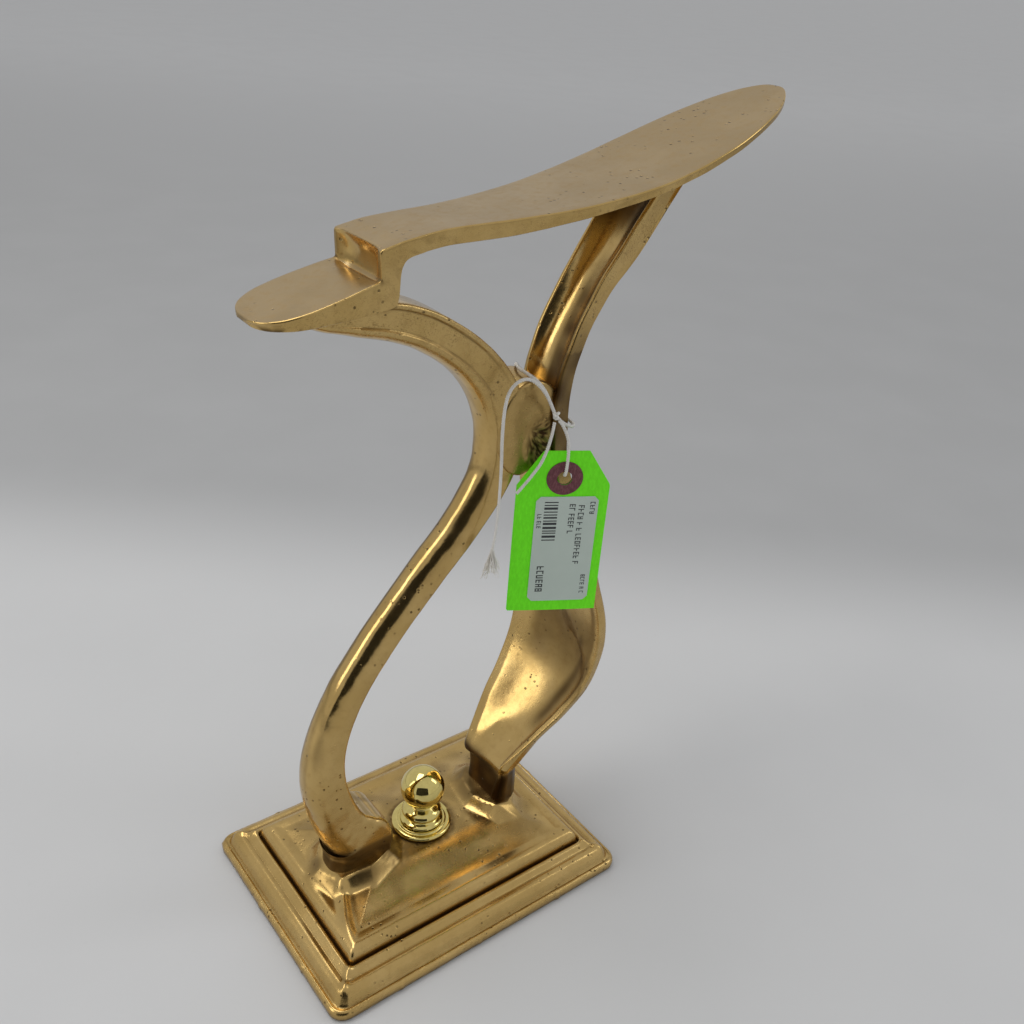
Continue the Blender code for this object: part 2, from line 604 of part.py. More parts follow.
def make_knot(material):
    """Overhand knot where the string's ends leave the ring round the leg."""
    bm = bmesh.new()
    bmesh.ops.create_uvsphere(bm, u_segments=12, v_segments=8, radius=KNOT_RADIUS)
    bmesh.ops.translate(bm, vec=KNOT_CENTRE, verts=bm.verts)
    return add_object("string_knot", bm, material, 60)


def make_tassel(material):
    """Frayed end of the string."""
    x, y, z = STRING_TAIL[-1]
    profile = [(0.0, z - GAP), (0.7, z - GAP), (1.1, z - 3.0), (2.2, z - 8.5), (2.0, z - 9.4), (0.0, z - 9.6)]
    bm = turned(profile, 12, (x, y))
    return add_object("string_tassel", bm, material, 60)


def main():
    clear_scene()
    brass = make_material("cast_brass", (0.53, 0.38, 0.19), 0.3, 1.0)
    bright = make_material("polished_brass", (0.72, 0.60, 0.20), 0.12, 1.0)
    steel = make_material("zinc_steel", (0.55, 0.55, 0.55), 0.4, 1.0)
    neon = make_material("neon_card", (0.12, 0.75, 0.02), 0.7)
    fibre = make_material("maroon_fibre", (0.22, 0.06, 0.08), 0.8)
    paper = make_material("label_paper", (0.55, 0.62, 0.62), 0.6)
    cotton = make_material("cotton_string", (0.80, 0.77, 0.70), 0.9)

    make_base(brass)
    make_heel_leg(brass)
    make_toe_leg(brass)
    make_crossing_web(brass)
    make_heel_plate_solid("heel_plate", brass)
    make_sole_solid("sole_plate", brass)

    make_knob(bright)
    make_flange(bright)
    washer_top = CAVITY_HEIGHT - GAP
    under_washer = washer_top - WASHER_THICKNESS - GAP
    for name, centre in (("heel_foot", HEEL_FOOT), ("toe_foot", TOE_FOOT)):
        make_washer(f"{name}_washer", centre, washer_top, steel)
        make_foot_screw(f"{name}_screw", centre, under_washer, steel)
    make_washer("knob_washer", (0.0, 0.0), washer_top, steel)
    make_nut("knob_nut", under_washer, steel)

    hang_on("tag_pivot", TAG_PIVOT, [
        make_tag_card(neon),
        make_patch("tag_patch_front", -1, fibre),
        make_patch("tag_patch_back", 1, fibre),
        make_label(paper),
        make_string("string_drop", STRING_DROP, cotton),
        make_string("string_short_tail", STRING_SHORT_TAIL, cotton)])
    make_string("string_ring", STRING_RING, cotton, closed=True)
    make_string("string_tail", STRING_TAIL, cotton)
    make_knot(cotton)
    make_tassel(cotton)


main()
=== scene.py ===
"""Looks for a cast-brass shoe-shine foot rest with a price tag tied round one leg.

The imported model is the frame. Dense castings, a turned knob, a printed tag and a twisted cotton
string replace the plain solids where they show. Lengths in the lists are millimetres, with x
measured from the middle of the base; at() turns them into the frame's metres.
"""
import math
import random

import bmesh
import bpy
from mathutils import Matrix, Vector, noise


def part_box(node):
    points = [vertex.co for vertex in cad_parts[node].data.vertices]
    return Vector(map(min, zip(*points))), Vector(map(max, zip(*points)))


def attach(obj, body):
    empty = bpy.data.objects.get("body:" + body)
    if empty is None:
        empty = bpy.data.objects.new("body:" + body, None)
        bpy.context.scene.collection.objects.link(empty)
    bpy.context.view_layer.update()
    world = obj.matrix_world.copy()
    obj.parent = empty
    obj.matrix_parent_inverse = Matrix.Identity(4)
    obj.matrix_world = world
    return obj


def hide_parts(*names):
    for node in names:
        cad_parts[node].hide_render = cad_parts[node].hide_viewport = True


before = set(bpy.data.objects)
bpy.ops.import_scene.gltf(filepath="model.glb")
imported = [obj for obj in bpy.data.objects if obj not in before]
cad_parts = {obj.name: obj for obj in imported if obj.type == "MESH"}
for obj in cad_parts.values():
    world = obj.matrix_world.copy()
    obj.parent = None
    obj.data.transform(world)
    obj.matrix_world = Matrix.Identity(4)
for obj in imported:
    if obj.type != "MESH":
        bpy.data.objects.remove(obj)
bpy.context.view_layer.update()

MM = 0.001
BASE_LOW, BASE_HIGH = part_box("base_casting")
MIDDLE_X = (BASE_LOW.x + BASE_HIGH.x) / 2 / MM
BASE_LENGTH = (BASE_HIGH.x - BASE_LOW.x) / MM
BASE_WIDTH = (BASE_HIGH.y - BASE_LOW.y) / MM

# ---- camera: a phone held above the stand's heel end, tipped down and a little to one side ----
CAMERA_PLACE = (-181.8, -260.5, 349.4)
CAMERA_AZIMUTH, CAMERA_ELEVATION, CAMERA_ROLL = -39.68, 29.42, 5.05
CAMERA_LENS = 36.914

# ---- the string's routes ----
STRING_DIAMETER = 1.3
STRING_RING = [
    (39.0, 10.6, 206.4), (37.4, 8.6, 211.2), (34.8, 5.4, 215.0), (32.4, 0.8, 215.6),
    (31.6, -4.6, 215.8), (32.6, -9.0, 214.6), (34.4, -11.8, 211.4), (36.4, -13.0, 206.8),
    (38.6, -13.4, 202.6), (42.2, -13.6, 198.8), (47.0, -12.8, 196.0), (51.4, -9.0, 194.6),
    (52.8, -2.0, 194.6), (52.4, 5.0, 196.0), (50.0, 10.6, 198.6), (44.8, 12.8, 202.2)]
STRING_DROP = [
    (38.0, -16.4, 201.6), (38.9, -17.3, 200.2), (39.9, -18.4, 197.6), (40.8, -19.2, 194.2),
    (41.1, -19.5, 190.0), (41.3, -19.4, 185.8), (41.5, -19.0, 182.6), (41.9, -18.3, 180.8),
    (42.6, -17.3, 179.9), (43.2, -16.4, 179.6)]
STRING_TAIL = [
    (35.9, -15.6, 205.1), (32.7, -15.5, 210.8), (29.5, -15.2, 214.9), (26.3, -14.5, 217.7),
    (22.9, -14.0, 218.6), (19.7, -13.5, 217.2), (17.4, -13.2, 213.7), (16.5, -13.0, 207.0),
    (16.5, -13.0, 197.8), (17.1, -13.0, 186.4), (17.3, -13.0, 174.7), (17.0, -13.0, 162.7),
    (16.0, -13.0, 153.9)]
STRING_SHORT_TAIL = [
    (35.4, -17.0, 201.6), (35.2, -16.6, 197.2), (34.8, -15.5, 191.1), (33.4, -14.4, 185.4),
    (30.9, -13.0, 180.4), (28.5, -11.9, 176.6), (25.9, -11.8, 174.2)]
KNOT_CENTRE = (36.9, -15.3, 203.6)

# ---- price tag ----
TAG_WIDTH, TAG_LENGTH, TAG_THICKNESS = 34.0, 66.5, 0.5
TAG_TOP_WIDTH, TAG_SHOULDER = 16.5, 13.5
TAG_TURN = math.radians(-28.0)
TAG_HOLE = (42.5, -17.5, 178.9)
HOLE_RADIUS, HOLE_BELOW_TOP = 2.9, 10.6
PATCH_RADIUS = 6.6
TAG_CURL, TAG_ARCH = 0.9, 0.25          # how far the card's foot bows back and its sides bow forward

# ---- castings: outlines follow the solids; the toe leg is thicker here in the middle of its bulge ----
PLATEAU_OFFSET, PLATEAU_HEIGHT = 38.0, 20.0
CAVITY_HEIGHT = 13.0
BASE_WALL = 5.0
HEEL_FOOT, TOE_FOOT = (-32.0, 0.0), (34.0, 0.0)
SCREW_CLEARANCE = 3.3
# centre, reach along and across the base, rise, skirt and turn of each foot's boss
BOSSES = ((HEEL_FOOT, 14.6, 12.8, 4.8, 5.2, 0.0), (TOE_FOOT, 9.6, 13.6, 3.4, 5.5, 17.0))
BOSS_FACETS = (-163.0, -112.0, -68.0, -25.0, 14.0, 61.0, 104.0, 150.0)
# x, z of the centre line, width across Y, depth in the side view, share of the depth that is round
HEEL_LEG_LINE = [
    (-54.0, 246.6, 8.0, 2.6, 0.50), (-44.0, 245.0, 12.6, 7.0, 0.40), (-33.0, 243.8, 14.5, 11.0, 0.34),
    (-21.0, 241.6, 15.0, 13.2, 0.30), (-8.0, 236.2, 15.0, 13.6, 0.28), (5.5, 227.0, 15.0, 13.8, 0.28),
    (15.5, 216.5, 15.2, 14.6, 0.30), (22.0, 204.5, 15.5, 15.4, 0.34), (23.8, 192.5, 15.2, 14.6, 0.44),
    (20.5, 177.5, 14.2, 12.6, 0.60), (9.5, 161.0, 13.4, 11.2, 0.68), (-8.0, 141.8, 13.0, 10.8, 0.70),
    (-25.5, 121.0, 13.0, 10.8, 0.70), (-38.0, 102.0, 13.4, 11.2, 0.66), (-45.0, 84.0, 14.2, 12.6, 0.58),
    (-46.4, 68.0, 15.6, 14.4, 0.48), (-43.0, 52.0, 16.8, 16.6, 0.42), (-39.4, 43.0, 18.0, 18.4, 0.40),
    (-35.8, 37.6, 19.6, 21.6, 0.38), (-33.2, 34.0, 20.8, 25.2, 0.36), (-32.3, 30.0, 20.4, 26.0, 0.36),
    (-32.0, 25.6, 18.8, 24.8, 0.38), (HEEL_FOOT[0], 18.4, 19.6, 24.8, 0.38)]
SOLE_UNDERSIDE = Vector((-0.947, -0.32))     # the way the sole's underside runs above the toe leg
FLARE = (250.0, 279.0)                       # height over which the toe leg tilts to the sole
HEEL_LEVEL, TOE_LEVEL = (38.0, 26.0), (40.0, 26.0)   # heights over which each foot turns upright
HEEL_TIP, HEEL_TIP_TOP, HEEL_SLOPE = 67.5, 249.1, 0.252
KNOB_BALL_RADIUS, STUD_RADIUS = 9.0, 3.0
# x, z of the scooped front face, width across Y, thickness behind it, depth of the scoop
TOE_LEG_LINE = [
    (80.5, 281.6, 23.0, 21.0, 2.0), (77.6, 277.0, 22.6, 16.0, 3.6), (71.4, 268.0, 21.8, 11.2, 4.2),
    (62.6, 255.0, 20.8, 8.4, 4.4),
    (54.0, 241.6, 20.0, 6.6, 4.0), (46.8, 227.0, 20.0, 6.2, 3.6), (42.4, 212.0, 20.2, 6.6, 3.0),
    (41.4, 196.0, 20.4, 7.0, 1.6), (43.6, 178.0, 22.0, 6.8, 0.6), (49.0, 158.0, 29.0, 7.4, 0.4),
    (56.0, 138.0, 40.0, 8.8, 0.2), (61.2, 118.0, 50.0, 10.6, 0.4), (62.2, 100.0, 52.4, 11.6, 3.0),
    (59.0, 83.0, 49.6, 10.6, 4.8), (51.4, 69.6, 43.6, 9.0, 4.8), (41.0, 57.6, 36.6, 8.4, 3.8),
    (31.4, 46.0, 30.0, 8.8, 1.4), (29.4, 41.4, 28.6, 10.4, 0.2), (30.8, 36.0, 25.6, 10.4, 0.0),
    (30.8, 30.0, 23.6, 12.0, 0.0), (30.0, 24.0, 23.2, 14.0, 0.0), (29.0, 18.4, 24.0, 15.0, 0.0)]


def at(x, y, z):
    """A place given in millimetres from the middle of the base, in the frame's metres."""
    return Vector(((x + MIDDLE_X) * MM, y * MM, z * MM))


def smooth_rows(rows, per_span):
    """Catmull-Rom rows through the given rows, per_span of them to each gap."""
    out = []
    for i in range(len(rows) - 1):
        before, here = rows[max(i - 1, 0)], rows[i]
        there, after = rows[i + 1], rows[min(i + 2, len(rows) - 1)]
        for k in range(per_span):
            t = k / per_span
            weights = (-0.5 * t + t * t - 0.5 * t ** 3, 1 - 2.5 * t * t + 1.5 * t ** 3,
                       0.5 * t + 2 * t * t - 1.5 * t ** 3, -0.5 * t * t + 0.5 * t ** 3)
            out.append(tuple(sum(w * row[c] for w, row in zip(weights, (before, here, there, after)))
                             for c in range(len(here))))
    out.append(tuple(rows[-1]))
    return out


def smoothstep(low, high, value):
    t = min(max((value - low) / (high - low), 0.0), 1.0)
    return t * t * (3 - 2 * t)


def bell(value, width):
    """1 where value is 0, falling smoothly away over about a width to either side."""
    return math.exp(-(value / width) ** 2)


def ripple(x, y, z, scale, seed=0.0):
    """Smooth noise from -1 to 1 over a length scale in millimetres."""
    return noise.noise(Vector((x / scale + seed, y / scale - seed, z / scale + 2 * seed)))


def cloud(x, y, z, scale, seed=0.0):
    """The same noise, brought to about 0 to 1."""
    return 0.5 + 0.5 * ripple(x, y, z, scale, seed)


def add_to_scene(name, data):
    made = bpy.data.objects.new(name, data)
    bpy.context.scene.collection.objects.link(made)
    return made


# ---- node helpers ----
class Shader:
    """A material's node tree, with short ways to add and join nodes."""

    def __init__(self, name):
        self.material = bpy.data.materials.new(name)
        self.material.use_nodes = True
        self.tree = self.material.node_tree
        self.surface = self.tree.nodes["Principled BSDF"]
        coordinates = self.tree.nodes.new("ShaderNodeTexCoord")
        self.place = coordinates.outputs["Object"]

    def link(self, source, target):
        if isinstance(source, (int, float)):
            target.default_value = source
        elif isinstance(source, tuple):
            target.default_value = (*source, 1.0) if len(target.default_value) == 4 else source
        else:
            self.tree.links.new(source, target)

    def node(self, kind, inputs=None, **settings):
        made = self.tree.nodes.new(kind)
        for key, value in settings.items():
            setattr(made, key, value)
        for key, value in (inputs or {}).items():
            self.link(value, made.inputs[key])
        return made

    def noise(self, per_mm, detail=3.0, roughness=0.5, stretch=None, distortion=0.0):
        """Noise with about per_mm features in a millimetre."""
        place = self.place
        if stretch:
            place = self.node("ShaderNodeMapping", {"Vector": place, "Scale": stretch}).outputs[0]
        made = self.node("ShaderNodeTexNoise", {"Vector": place, "Scale": per_mm * 1000.0, "Detail": detail,
                                                "Roughness": roughness, "Distortion": distortion})
        return made.outputs["Fac"]

    def ramp(self, value, low, high, start=0.0, end=1.0):
        """start below low, end above high, and smooth in between."""
        made = self.node("ShaderNodeMapRange", {"Value": value, "From Min": low, "From Max": high,
                                                "To Min": start, "To Max": end},
                         interpolation_type="SMOOTHSTEP")
        return made.outputs["Result"]

    def math(self, operation, a, b):
        return self.node("ShaderNodeMath", {0: a, 1: b}, operation=operation).outputs[0]

    def mix(self, factor, a, b):
        made = self.node("ShaderNodeMix", data_type="RGBA")
        self.link(factor, made.inputs["Factor"])
        self.link(a, made.inputs[6])
        self.link(b, made.inputs[7])
        return made.outputs[2]

    def attribute(self, name):
        return self.node("ShaderNodeAttribute", attribute_name=name).outputs["Fac"]

    def set(self, **sockets):
        for name, value in sockets.items():
            self.link(value, self.surface.inputs[name.replace("_", " ")])

    def bumps(self, *layers):
        """Stack bump layers, each (height from 0 to 1, depth in millimetres)."""
        normal = None
        for height, depth in layers:
            made = self.node("ShaderNodeBump", {"Height": height, "Distance": depth * MM, "Strength": 1.0})
            if normal is not None:
                self.link(normal, made.inputs["Normal"])
            normal = made.outputs["Normal"]
        self.link(normal, self.surface.inputs["Normal"])


def cast_brass():
    """Old polished brass casting: warm and satin, with pits, fine scratches, brown patina, and painted shade
    and dark reflections.
    """
    s = Shader("cast_brass_worn")
    grime = s.attribute("grime")
    matt = s.attribute("satin")
    grain_share = s.attribute("grain")
    blotch = s.noise(0.05, 4.0, 0.55)
    mottle = s.noise(0.35, 5.0, 0.6)
    grain = s.noise(2.6, 3.0, 0.65)
    cells = s.node("ShaderNodeTexVoronoi", {"Vector": s.place, "Scale": 620.0, "Randomness": 1.0})
    rare = s.ramp(s.node("ShaderNodeSeparateColor", {"Color": cells.outputs["Color"]}).outputs[0], 0.84, 0.90)
    spot = s.ramp(cells.outputs["Distance"], 0.20, 0.38, 1.0, 0.0)
    patchy = s.ramp(s.noise(0.06, 2.0), 0.44, 0.58)
    pits = s.math("MULTIPLY", s.math("MULTIPLY", spot, rare), patchy)
    rough_cast = s.math("MULTIPLY", s.ramp(s.noise(1.9, 4.0, 0.7), 0.52, 0.70), grain_share)
    scratch = s.ramp(s.noise(0.9, 2.0, 0.6, stretch=(0.12, 1.0, 1.6)), 0.60, 0.72)

    gold = s.mix(s.ramp(blotch, 0.38, 0.66), (0.555, 0.375, 0.135), (0.615, 0.425, 0.165))
    pale = s.mix(s.ramp(blotch, 0.38, 0.66), (0.447, 0.324, 0.163), (0.492, 0.362, 0.190))
    clean = s.mix(s.ramp(matt, 0.23, 0.29), gold, pale)
    clean = s.mix(s.math("MULTIPLY", s.ramp(mottle, 0.45, 0.75), 0.35), clean, (0.42, 0.265, 0.095))
    dirt_and_shade = s.math("MAXIMUM", grime, s.math("MULTIPLY", rough_cast, 0.42))
    # The dark brown mixed in here is partly patina and partly painted shade and painted dark reflections.
    worn_and_shaded = s.mix(dirt_and_shade, clean, (0.055, 0.028, 0.011))
    s.set(Base_Color=s.mix(s.math("MULTIPLY", pits, 0.75), worn_and_shaded, (0.05, 0.028, 0.012)), Metallic=1.0)
    satin = s.math("ADD", matt, s.ramp(mottle, 0.3, 0.8, 0.0, 0.07))
    satin = s.math("ADD", satin, s.math("MULTIPLY", scratch, 0.05))
    s.set(Roughness=s.math("ADD", satin, s.math("MULTIPLY", dirt_and_shade, 0.22)))
    s.bumps((s.noise(0.11, 2.0, 0.4), 0.16), (mottle, 0.030), (grain, 0.008),
            (s.math("SUBTRACT", 1.0, rough_cast), 0.09), (s.math("SUBTRACT", 1.0, pits), 0.12),
            (scratch, 0.004))
    return s.material


def polished_brass():
    s = Shader("knob_brass_mirror")
    haze = s.noise(0.4, 4.0, 0.6)
    s.set(Base_Color=s.mix(s.ramp(haze, 0.35, 0.7), (0.80, 0.66, 0.24), (0.70, 0.57, 0.20)), Metallic=1.0,
          Roughness=s.math("ADD", s.ramp(haze, 0.4, 0.8, 0.05, 0.12),
                           s.math("MULTIPLY", s.attribute("grime"), 0.3)))
    s.bumps((s.noise(0.2, 2.0), 0.10), (s.noise(1.6, 3.0), 0.004))
    return s.material


def zinc_steel():
    s = Shader("zinc_plated_steel")
    bloom = s.noise(0.5, 5.0, 0.65)
    s.set(Base_Color=s.mix(s.ramp(bloom, 0.4, 0.7), (0.56, 0.56, 0.55), (0.36, 0.35, 0.33)), Metallic=1.0,
          Roughness=s.ramp(bloom, 0.3, 0.8, 0.28, 0.5))
    s.bumps((s.noise(2.0, 3.0), 0.01),)
    return s.material


def neon_card():
    """Fluorescent card: it glows a little, so it stays vivid in soft light."""
    s = Shader("neon_card_fibre")
    fibre = s.noise(1.1, 5.0, 0.7, stretch=(1.0, 1.0, 0.35))
    colour = s.mix(s.ramp(fibre, 0.35, 0.7), (0.125, 0.70, 0.008), (0.155, 0.79, 0.012))
    s.set(Base_Color=colour, Roughness=0.62, Specular_IOR_Level=0.3)
    s.link(colour, s.surface.inputs["Emission Color"])
    s.set(Emission_Strength=0.12)
    s.bumps((fibre, 0.02), (s.noise(4.0, 2.0), 0.006))
    return s.material


def maroon_fibre():
    s = Shader("maroon_fibre_patch")
    strands = s.noise(1.6, 6.0, 0.75, stretch=(1.0, 1.0, 0.4))
    s.set(Base_Color=s.mix(s.ramp(strands, 0.35, 0.7), (0.105, 0.026, 0.034), (0.215, 0.075, 0.088)),
          Roughness=0.7)
    s.bumps((strands, 0.04), (s.noise(5.0, 2.0), 0.01))
    return s.material


def label_paper():
    s = Shader("label_paper_coated")
    tone = s.noise(0.12, 3.0)
    s.set(Base_Color=s.mix(tone, (0.47, 0.555, 0.50), (0.54, 0.62, 0.56)), Roughness=0.38)
    s.bumps((s.noise(0.5, 3.0), 0.012), (s.noise(5.0, 2.0), 0.003))
    return s.material


def print_ink():
    s = Shader("label_print")
    s.set(Base_Color=s.mix(s.noise(3.0, 3.0), (0.015, 0.018, 0.02), (0.05, 0.055, 0.06)), Roughness=0.55)
    return s.material


def cotton():
    s = Shader("cotton_yarn")
    fibre = s.noise(5.0, 4.0, 0.7)
    soil = s.noise(0.09, 3.0)
    clean = s.mix(s.ramp(fibre, 0.3, 0.7), (0.76, 0.735, 0.68), (0.88, 0.87, 0.83))
    s.set(Base_Color=s.mix(s.ramp(soil, 0.5, 0.8, 0.0, 0.3), clean, (0.60, 0.55, 0.46)), Roughness=0.9,
          Sheen_Weight=0.35, Specular_IOR_Level=0.2)
    s.bumps((fibre, 0.03),)
    return s.material


# ---- mesh helpers ----
def make_piece(name, points, faces, material, body, node=None, marks=None, smooth_angle=38.0):
    """A piece from points in millimetres, riding on a body and standing for a CAD node.

    marks maps an attribute's name to one value for each point.
    """
    mesh = bpy.data.meshes.new(name)
    mesh.from_pydata([at(*p) for p in points], [], faces)
    mesh.validate()
    for key, values in (marks or {}).items():
        mesh.attributes.new(key, "FLOAT", "POINT").data.foreach_set("value", values)
    bm = bmesh.new()
    bm.from_mesh(mesh)
    bmesh.ops.recalc_face_normals(bm, faces=bm.faces)
    bm.to_mesh(mesh)
    bm.free()
    mesh.shade_smooth()
    mesh.set_sharp_from_angle(angle=math.radians(smooth_angle))
    mesh.materials.append(material)
    piece = add_to_scene(name, mesh)
    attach(piece, body)
    if node:
        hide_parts(*([node] if isinstance(node, str) else node))
    return piece


def ring_faces(ring_count, ring_size, first=0, caps=True, closed=False):
    """Quads between neighbouring rings, with one flat face over each open end."""
    faces = []
    last = ring_count if closed else ring_count - 1
    for r in range(last):
        low, high = first + r * ring_size, first + ((r + 1) % ring_count) * ring_size
        for i in range(ring_size):
            j = (i + 1) % ring_size
            faces.append((low + i, low + j, high + j, high + i))
    if caps and not closed:
        faces.append(tuple(range(first + ring_size - 1, first - 1, -1)))
        end = first + (ring_count - 1) * ring_size
        faces.append(tuple(range(end, end + ring_size)))
    return faces


def casting(name, rings, material, node, grime, satin, grain, smooth_angle=38.0, closed=False):
    """A lofted brass casting, with its patina-and-painted-shade, satin and cast-grain marks worked out point
    by point.

    A ring's points are x, y, z, and may add a crease mark from 0 to 1, which darkens the colour as painted
    shade, and a polish mark.
    """
    points = [(*p, *(0.0, 0.0)[len(p) - 3:]) for ring in rings for p in ring]
    marks = {"grime": [min(max(grime(x, y, z), crease, 0.0), 1.0) for x, y, z, crease, _ in points],
             "satin": [satin(x, y, z) * (1 - shine) + 0.09 * shine for x, y, z, _, shine in points],
             "grain": [min(max(grain(x, y, z) * (1 - shine), 0.0), 1.0) for x, y, z, _, shine in points]}
    faces = ring_faces(len(rings), len(rings[0]), closed=closed)
    return make_piece(name, [p[:3] for p in points], faces, material, "stand", node, marks,
                      smooth_angle)


def turned_points(profile, steps, centre=(0.0, 0.0)):
    """Points and faces turned about a vertical axis from (radius, z) points, top to bottom."""
    points, faces, rows = [], [], []
    for radius, z in profile:
        if radius < 1e-6:
            rows.append([len(points)])
            points.append((centre[0], centre[1], z))
            continue
        rows.append(list(range(len(points), len(points) + steps)))
        points += [(centre[0] + radius * math.cos(math.tau * k / steps),
                    centre[1] + radius * math.sin(math.tau * k / steps), z) for k in range(steps)]
    pairs = list(zip(rows, rows[1:]))
    if profile[0][0] > 1e-6:
        pairs.append((rows[-1], rows[0]))
    for upper, lower in pairs:
        for i in range(steps):
            j = (i + 1) % steps
            if len(upper) == 1:
                faces.append((upper[0], lower[i], lower[j]))
            elif len(lower) == 1:
                faces.append((upper[i], lower[0], upper[j]))
            else:
                faces.append((upper[i], lower[i], lower[j], upper[j]))
    return points, faces


def arc(centre, radius, start, end, steps):
    """(radius, z) points of an arc, angles in degrees from +X towards +Z."""
    return [(centre[0] + radius * math.cos(math.radians(start + (end - start) * k / steps)),
             centre[1] + radius * math.sin(math.radians(start + (end - start) * k / steps)))
            for k in range(steps + 1)]


# ---- camera ----
def make_camera():
    a, e, r = (math.radians(v) for v in (CAMERA_AZIMUTH, CAMERA_ELEVATION, CAMERA_ROLL))
    back = Vector((math.sin(a) * math.cos(e), -math.cos(a) * math.cos(e), math.sin(e)))
    level = Vector((math.cos(a), math.sin(a), 0.0))
    up = back.cross(level)
    right = math.cos(r) * level + math.sin(r) * up
    top = -math.sin(r) * level + math.cos(r) * up
    data = bpy.data.cameras.new("camera")
    data.lens, data.sensor_width = CAMERA_LENS, 36.0
    data.clip_start, data.clip_end = 0.01, 50.0
    camera = add_to_scene("camera", data)
    turn = Matrix((right, top, back)).transposed().to_4x4()
    camera.matrix_world = Matrix.Translation(at(*CAMERA_PLACE)) @ turn
    bpy.context.scene.camera = camera


# ---- string ----
def path_frames(points, closed=False):
    """Tangent, side and up at each point, turning as little as possible along the path."""
    count = len(points)
    frames, side = [], None
    for i in range(count):
        before = points[i - 1] if closed or i else points[i]
        after = points[(i + 1) % count] if closed or i < count - 1 else points[i]
        tangent = (after - before).normalized()
        if side is None:
            side = tangent.orthogonal().normalized()
        side = (side - tangent * side.dot(tangent)).normalized()
        frames.append((tangent, side, tangent.cross(side)))
    return frames


def even_points(points, step, closed=False):
    """The same line with points evenly step apart."""
    line = points + [points[0]] if closed else points
    lengths = [0.0]
    for a, b in zip(line, line[1:]):
        lengths.append(lengths[-1] + (b - a).length)
    count = max(2, round(lengths[-1] / step))
    out, k = [], 0
    for i in range(count + (0 if closed else 1)):
        want = lengths[-1] * i / count
        while k < len(line) - 2 and lengths[k + 1] < want:
            k += 1
        span = max(lengths[k + 1] - lengths[k], 1e-9)
        out.append(line[k].lerp(line[k + 1], min(max((want - lengths[k]) / span, 0.0), 1.0)))
    return out, lengths[-1]


def yarn_points(line, closed, diameter, plies=3, pitch=2.7, sides=7, taper=0.0):
    """Points and faces of plies twisted round a line, in millimetres."""
    frames = path_frames(line, closed)
    ply_radius = diameter * 0.285
    orbit = diameter / 2 - ply_radius
    step = (line[1] - line[0]).length
    turns = round(len(line) * step / pitch) if closed else len(line) * step / pitch
    points, faces = [], []
    for ply in range(plies):
        first = len(points)
        for i, (centre, (_, side, up)) in enumerate(zip(line, frames)):
            share = i / (len(line) if closed else len(line) - 1)
            angle = math.tau * (ply / plies + turns * share)
            thin = 1.0 - taper * max(0.0, share - 0.6) / 0.4
            wobble = 1.0 + 0.10 * ripple(*centre, 1.3, 3.0 * ply)
            hub = centre + (side * math.cos(angle) + up * math.sin(angle)) * orbit * thin
            for k in range(sides):
                around = math.tau * k / sides + angle
                points.append(tuple(hub + (side * math.cos(around) + up * math.sin(around))
                                    * ply_radius * thin * wobble))
        faces += ring_faces(len(line), sides, first, closed=closed)
    return points, faces


def make_yarn(name, route, body, node, closed=False, taper=0.0):
    """Twisted cotton string along a route; returns the piece, its line and its length in metres."""
    rows = [route[-1]] + route + route[:2] if closed else route
    smooth = [Vector(p) for p in smooth_rows(rows, 8)]
    if closed:
        smooth = smooth[8:8 * (len(route) + 1)]
    line, length = even_points(smooth, 0.28, closed)
    points, faces = yarn_points(line, closed, STRING_DIAMETER, taper=taper)
    piece = make_piece(name, points, faces, COTTON, body, node, smooth_angle=80)
    return piece, [tuple(at(*p)) for p in line], length * MM


def make_knot():
    """Overhand knot: a trefoil of the same string, with its lobes pulled tight."""
    line = []
    steps = 90
    lobe, crossing = 0.72, 1.4
    for k in range(steps):
        t = math.tau * k / steps
        line.append(Vector(KNOT_CENTRE) + Vector((lobe * (math.sin(t) + crossing * math.sin(2 * t)) * 0.62,
                                                  -0.5 + 0.62 * math.sin(3 * t) * 0.8,
                                                  lobe * (math.cos(t) - crossing * math.cos(2 * t)) * 0.72)))
    points, faces = yarn_points(line, True, STRING_DIAMETER * 0.86)
    return make_piece("string_knot_yarn", points, faces, COTTON, "stand", "string_knot",
                      smooth_angle=80)


def make_tassel():
    """Frayed end: loose fibres that fan out from the last turn of the string."""
    draw = random.Random(7)
    fibres, joints, fibre_radius = 84, 10, 0.115
    points, faces = [], []
    start = Vector(STRING_TAIL[-1]) + Vector((0.0, 0.0, 1.6))
    for _ in range(fibres):
        angle, spread = draw.uniform(0.0, math.tau), draw.uniform(0.1, 1.0) ** 0.6
        length = draw.uniform(6.5, 12.4)
        away = Vector((math.cos(angle), math.sin(angle) * 0.8, 0.0))
        curl = Vector((draw.uniform(-1, 1), draw.uniform(-1, 1), 0.0)) * 1.1
        line = []
        for k in range(joints + 1):
            t = k / joints
            line.append(start + away * (0.35 + 3.6 * spread * t ** 1.4) + curl * math.sin(t * math.pi) * 0.6
                        + Vector((0.0, 0.0, -length * t)))
        frames = path_frames(line)
        first = len(points)
        for centre, (_, side, up) in zip(line, frames):
            for c, s in ((1, 0), (-0.5, 0.87), (-0.5, -0.87)):
                points.append(tuple(centre + (side * c + up * s) * fibre_radius))
        faces += ring_faces(len(line), 3, first)
    return make_piece("string_tassel_fibres", points, faces, COTTON, "stand", "string_tassel",
                      smooth_angle=80)


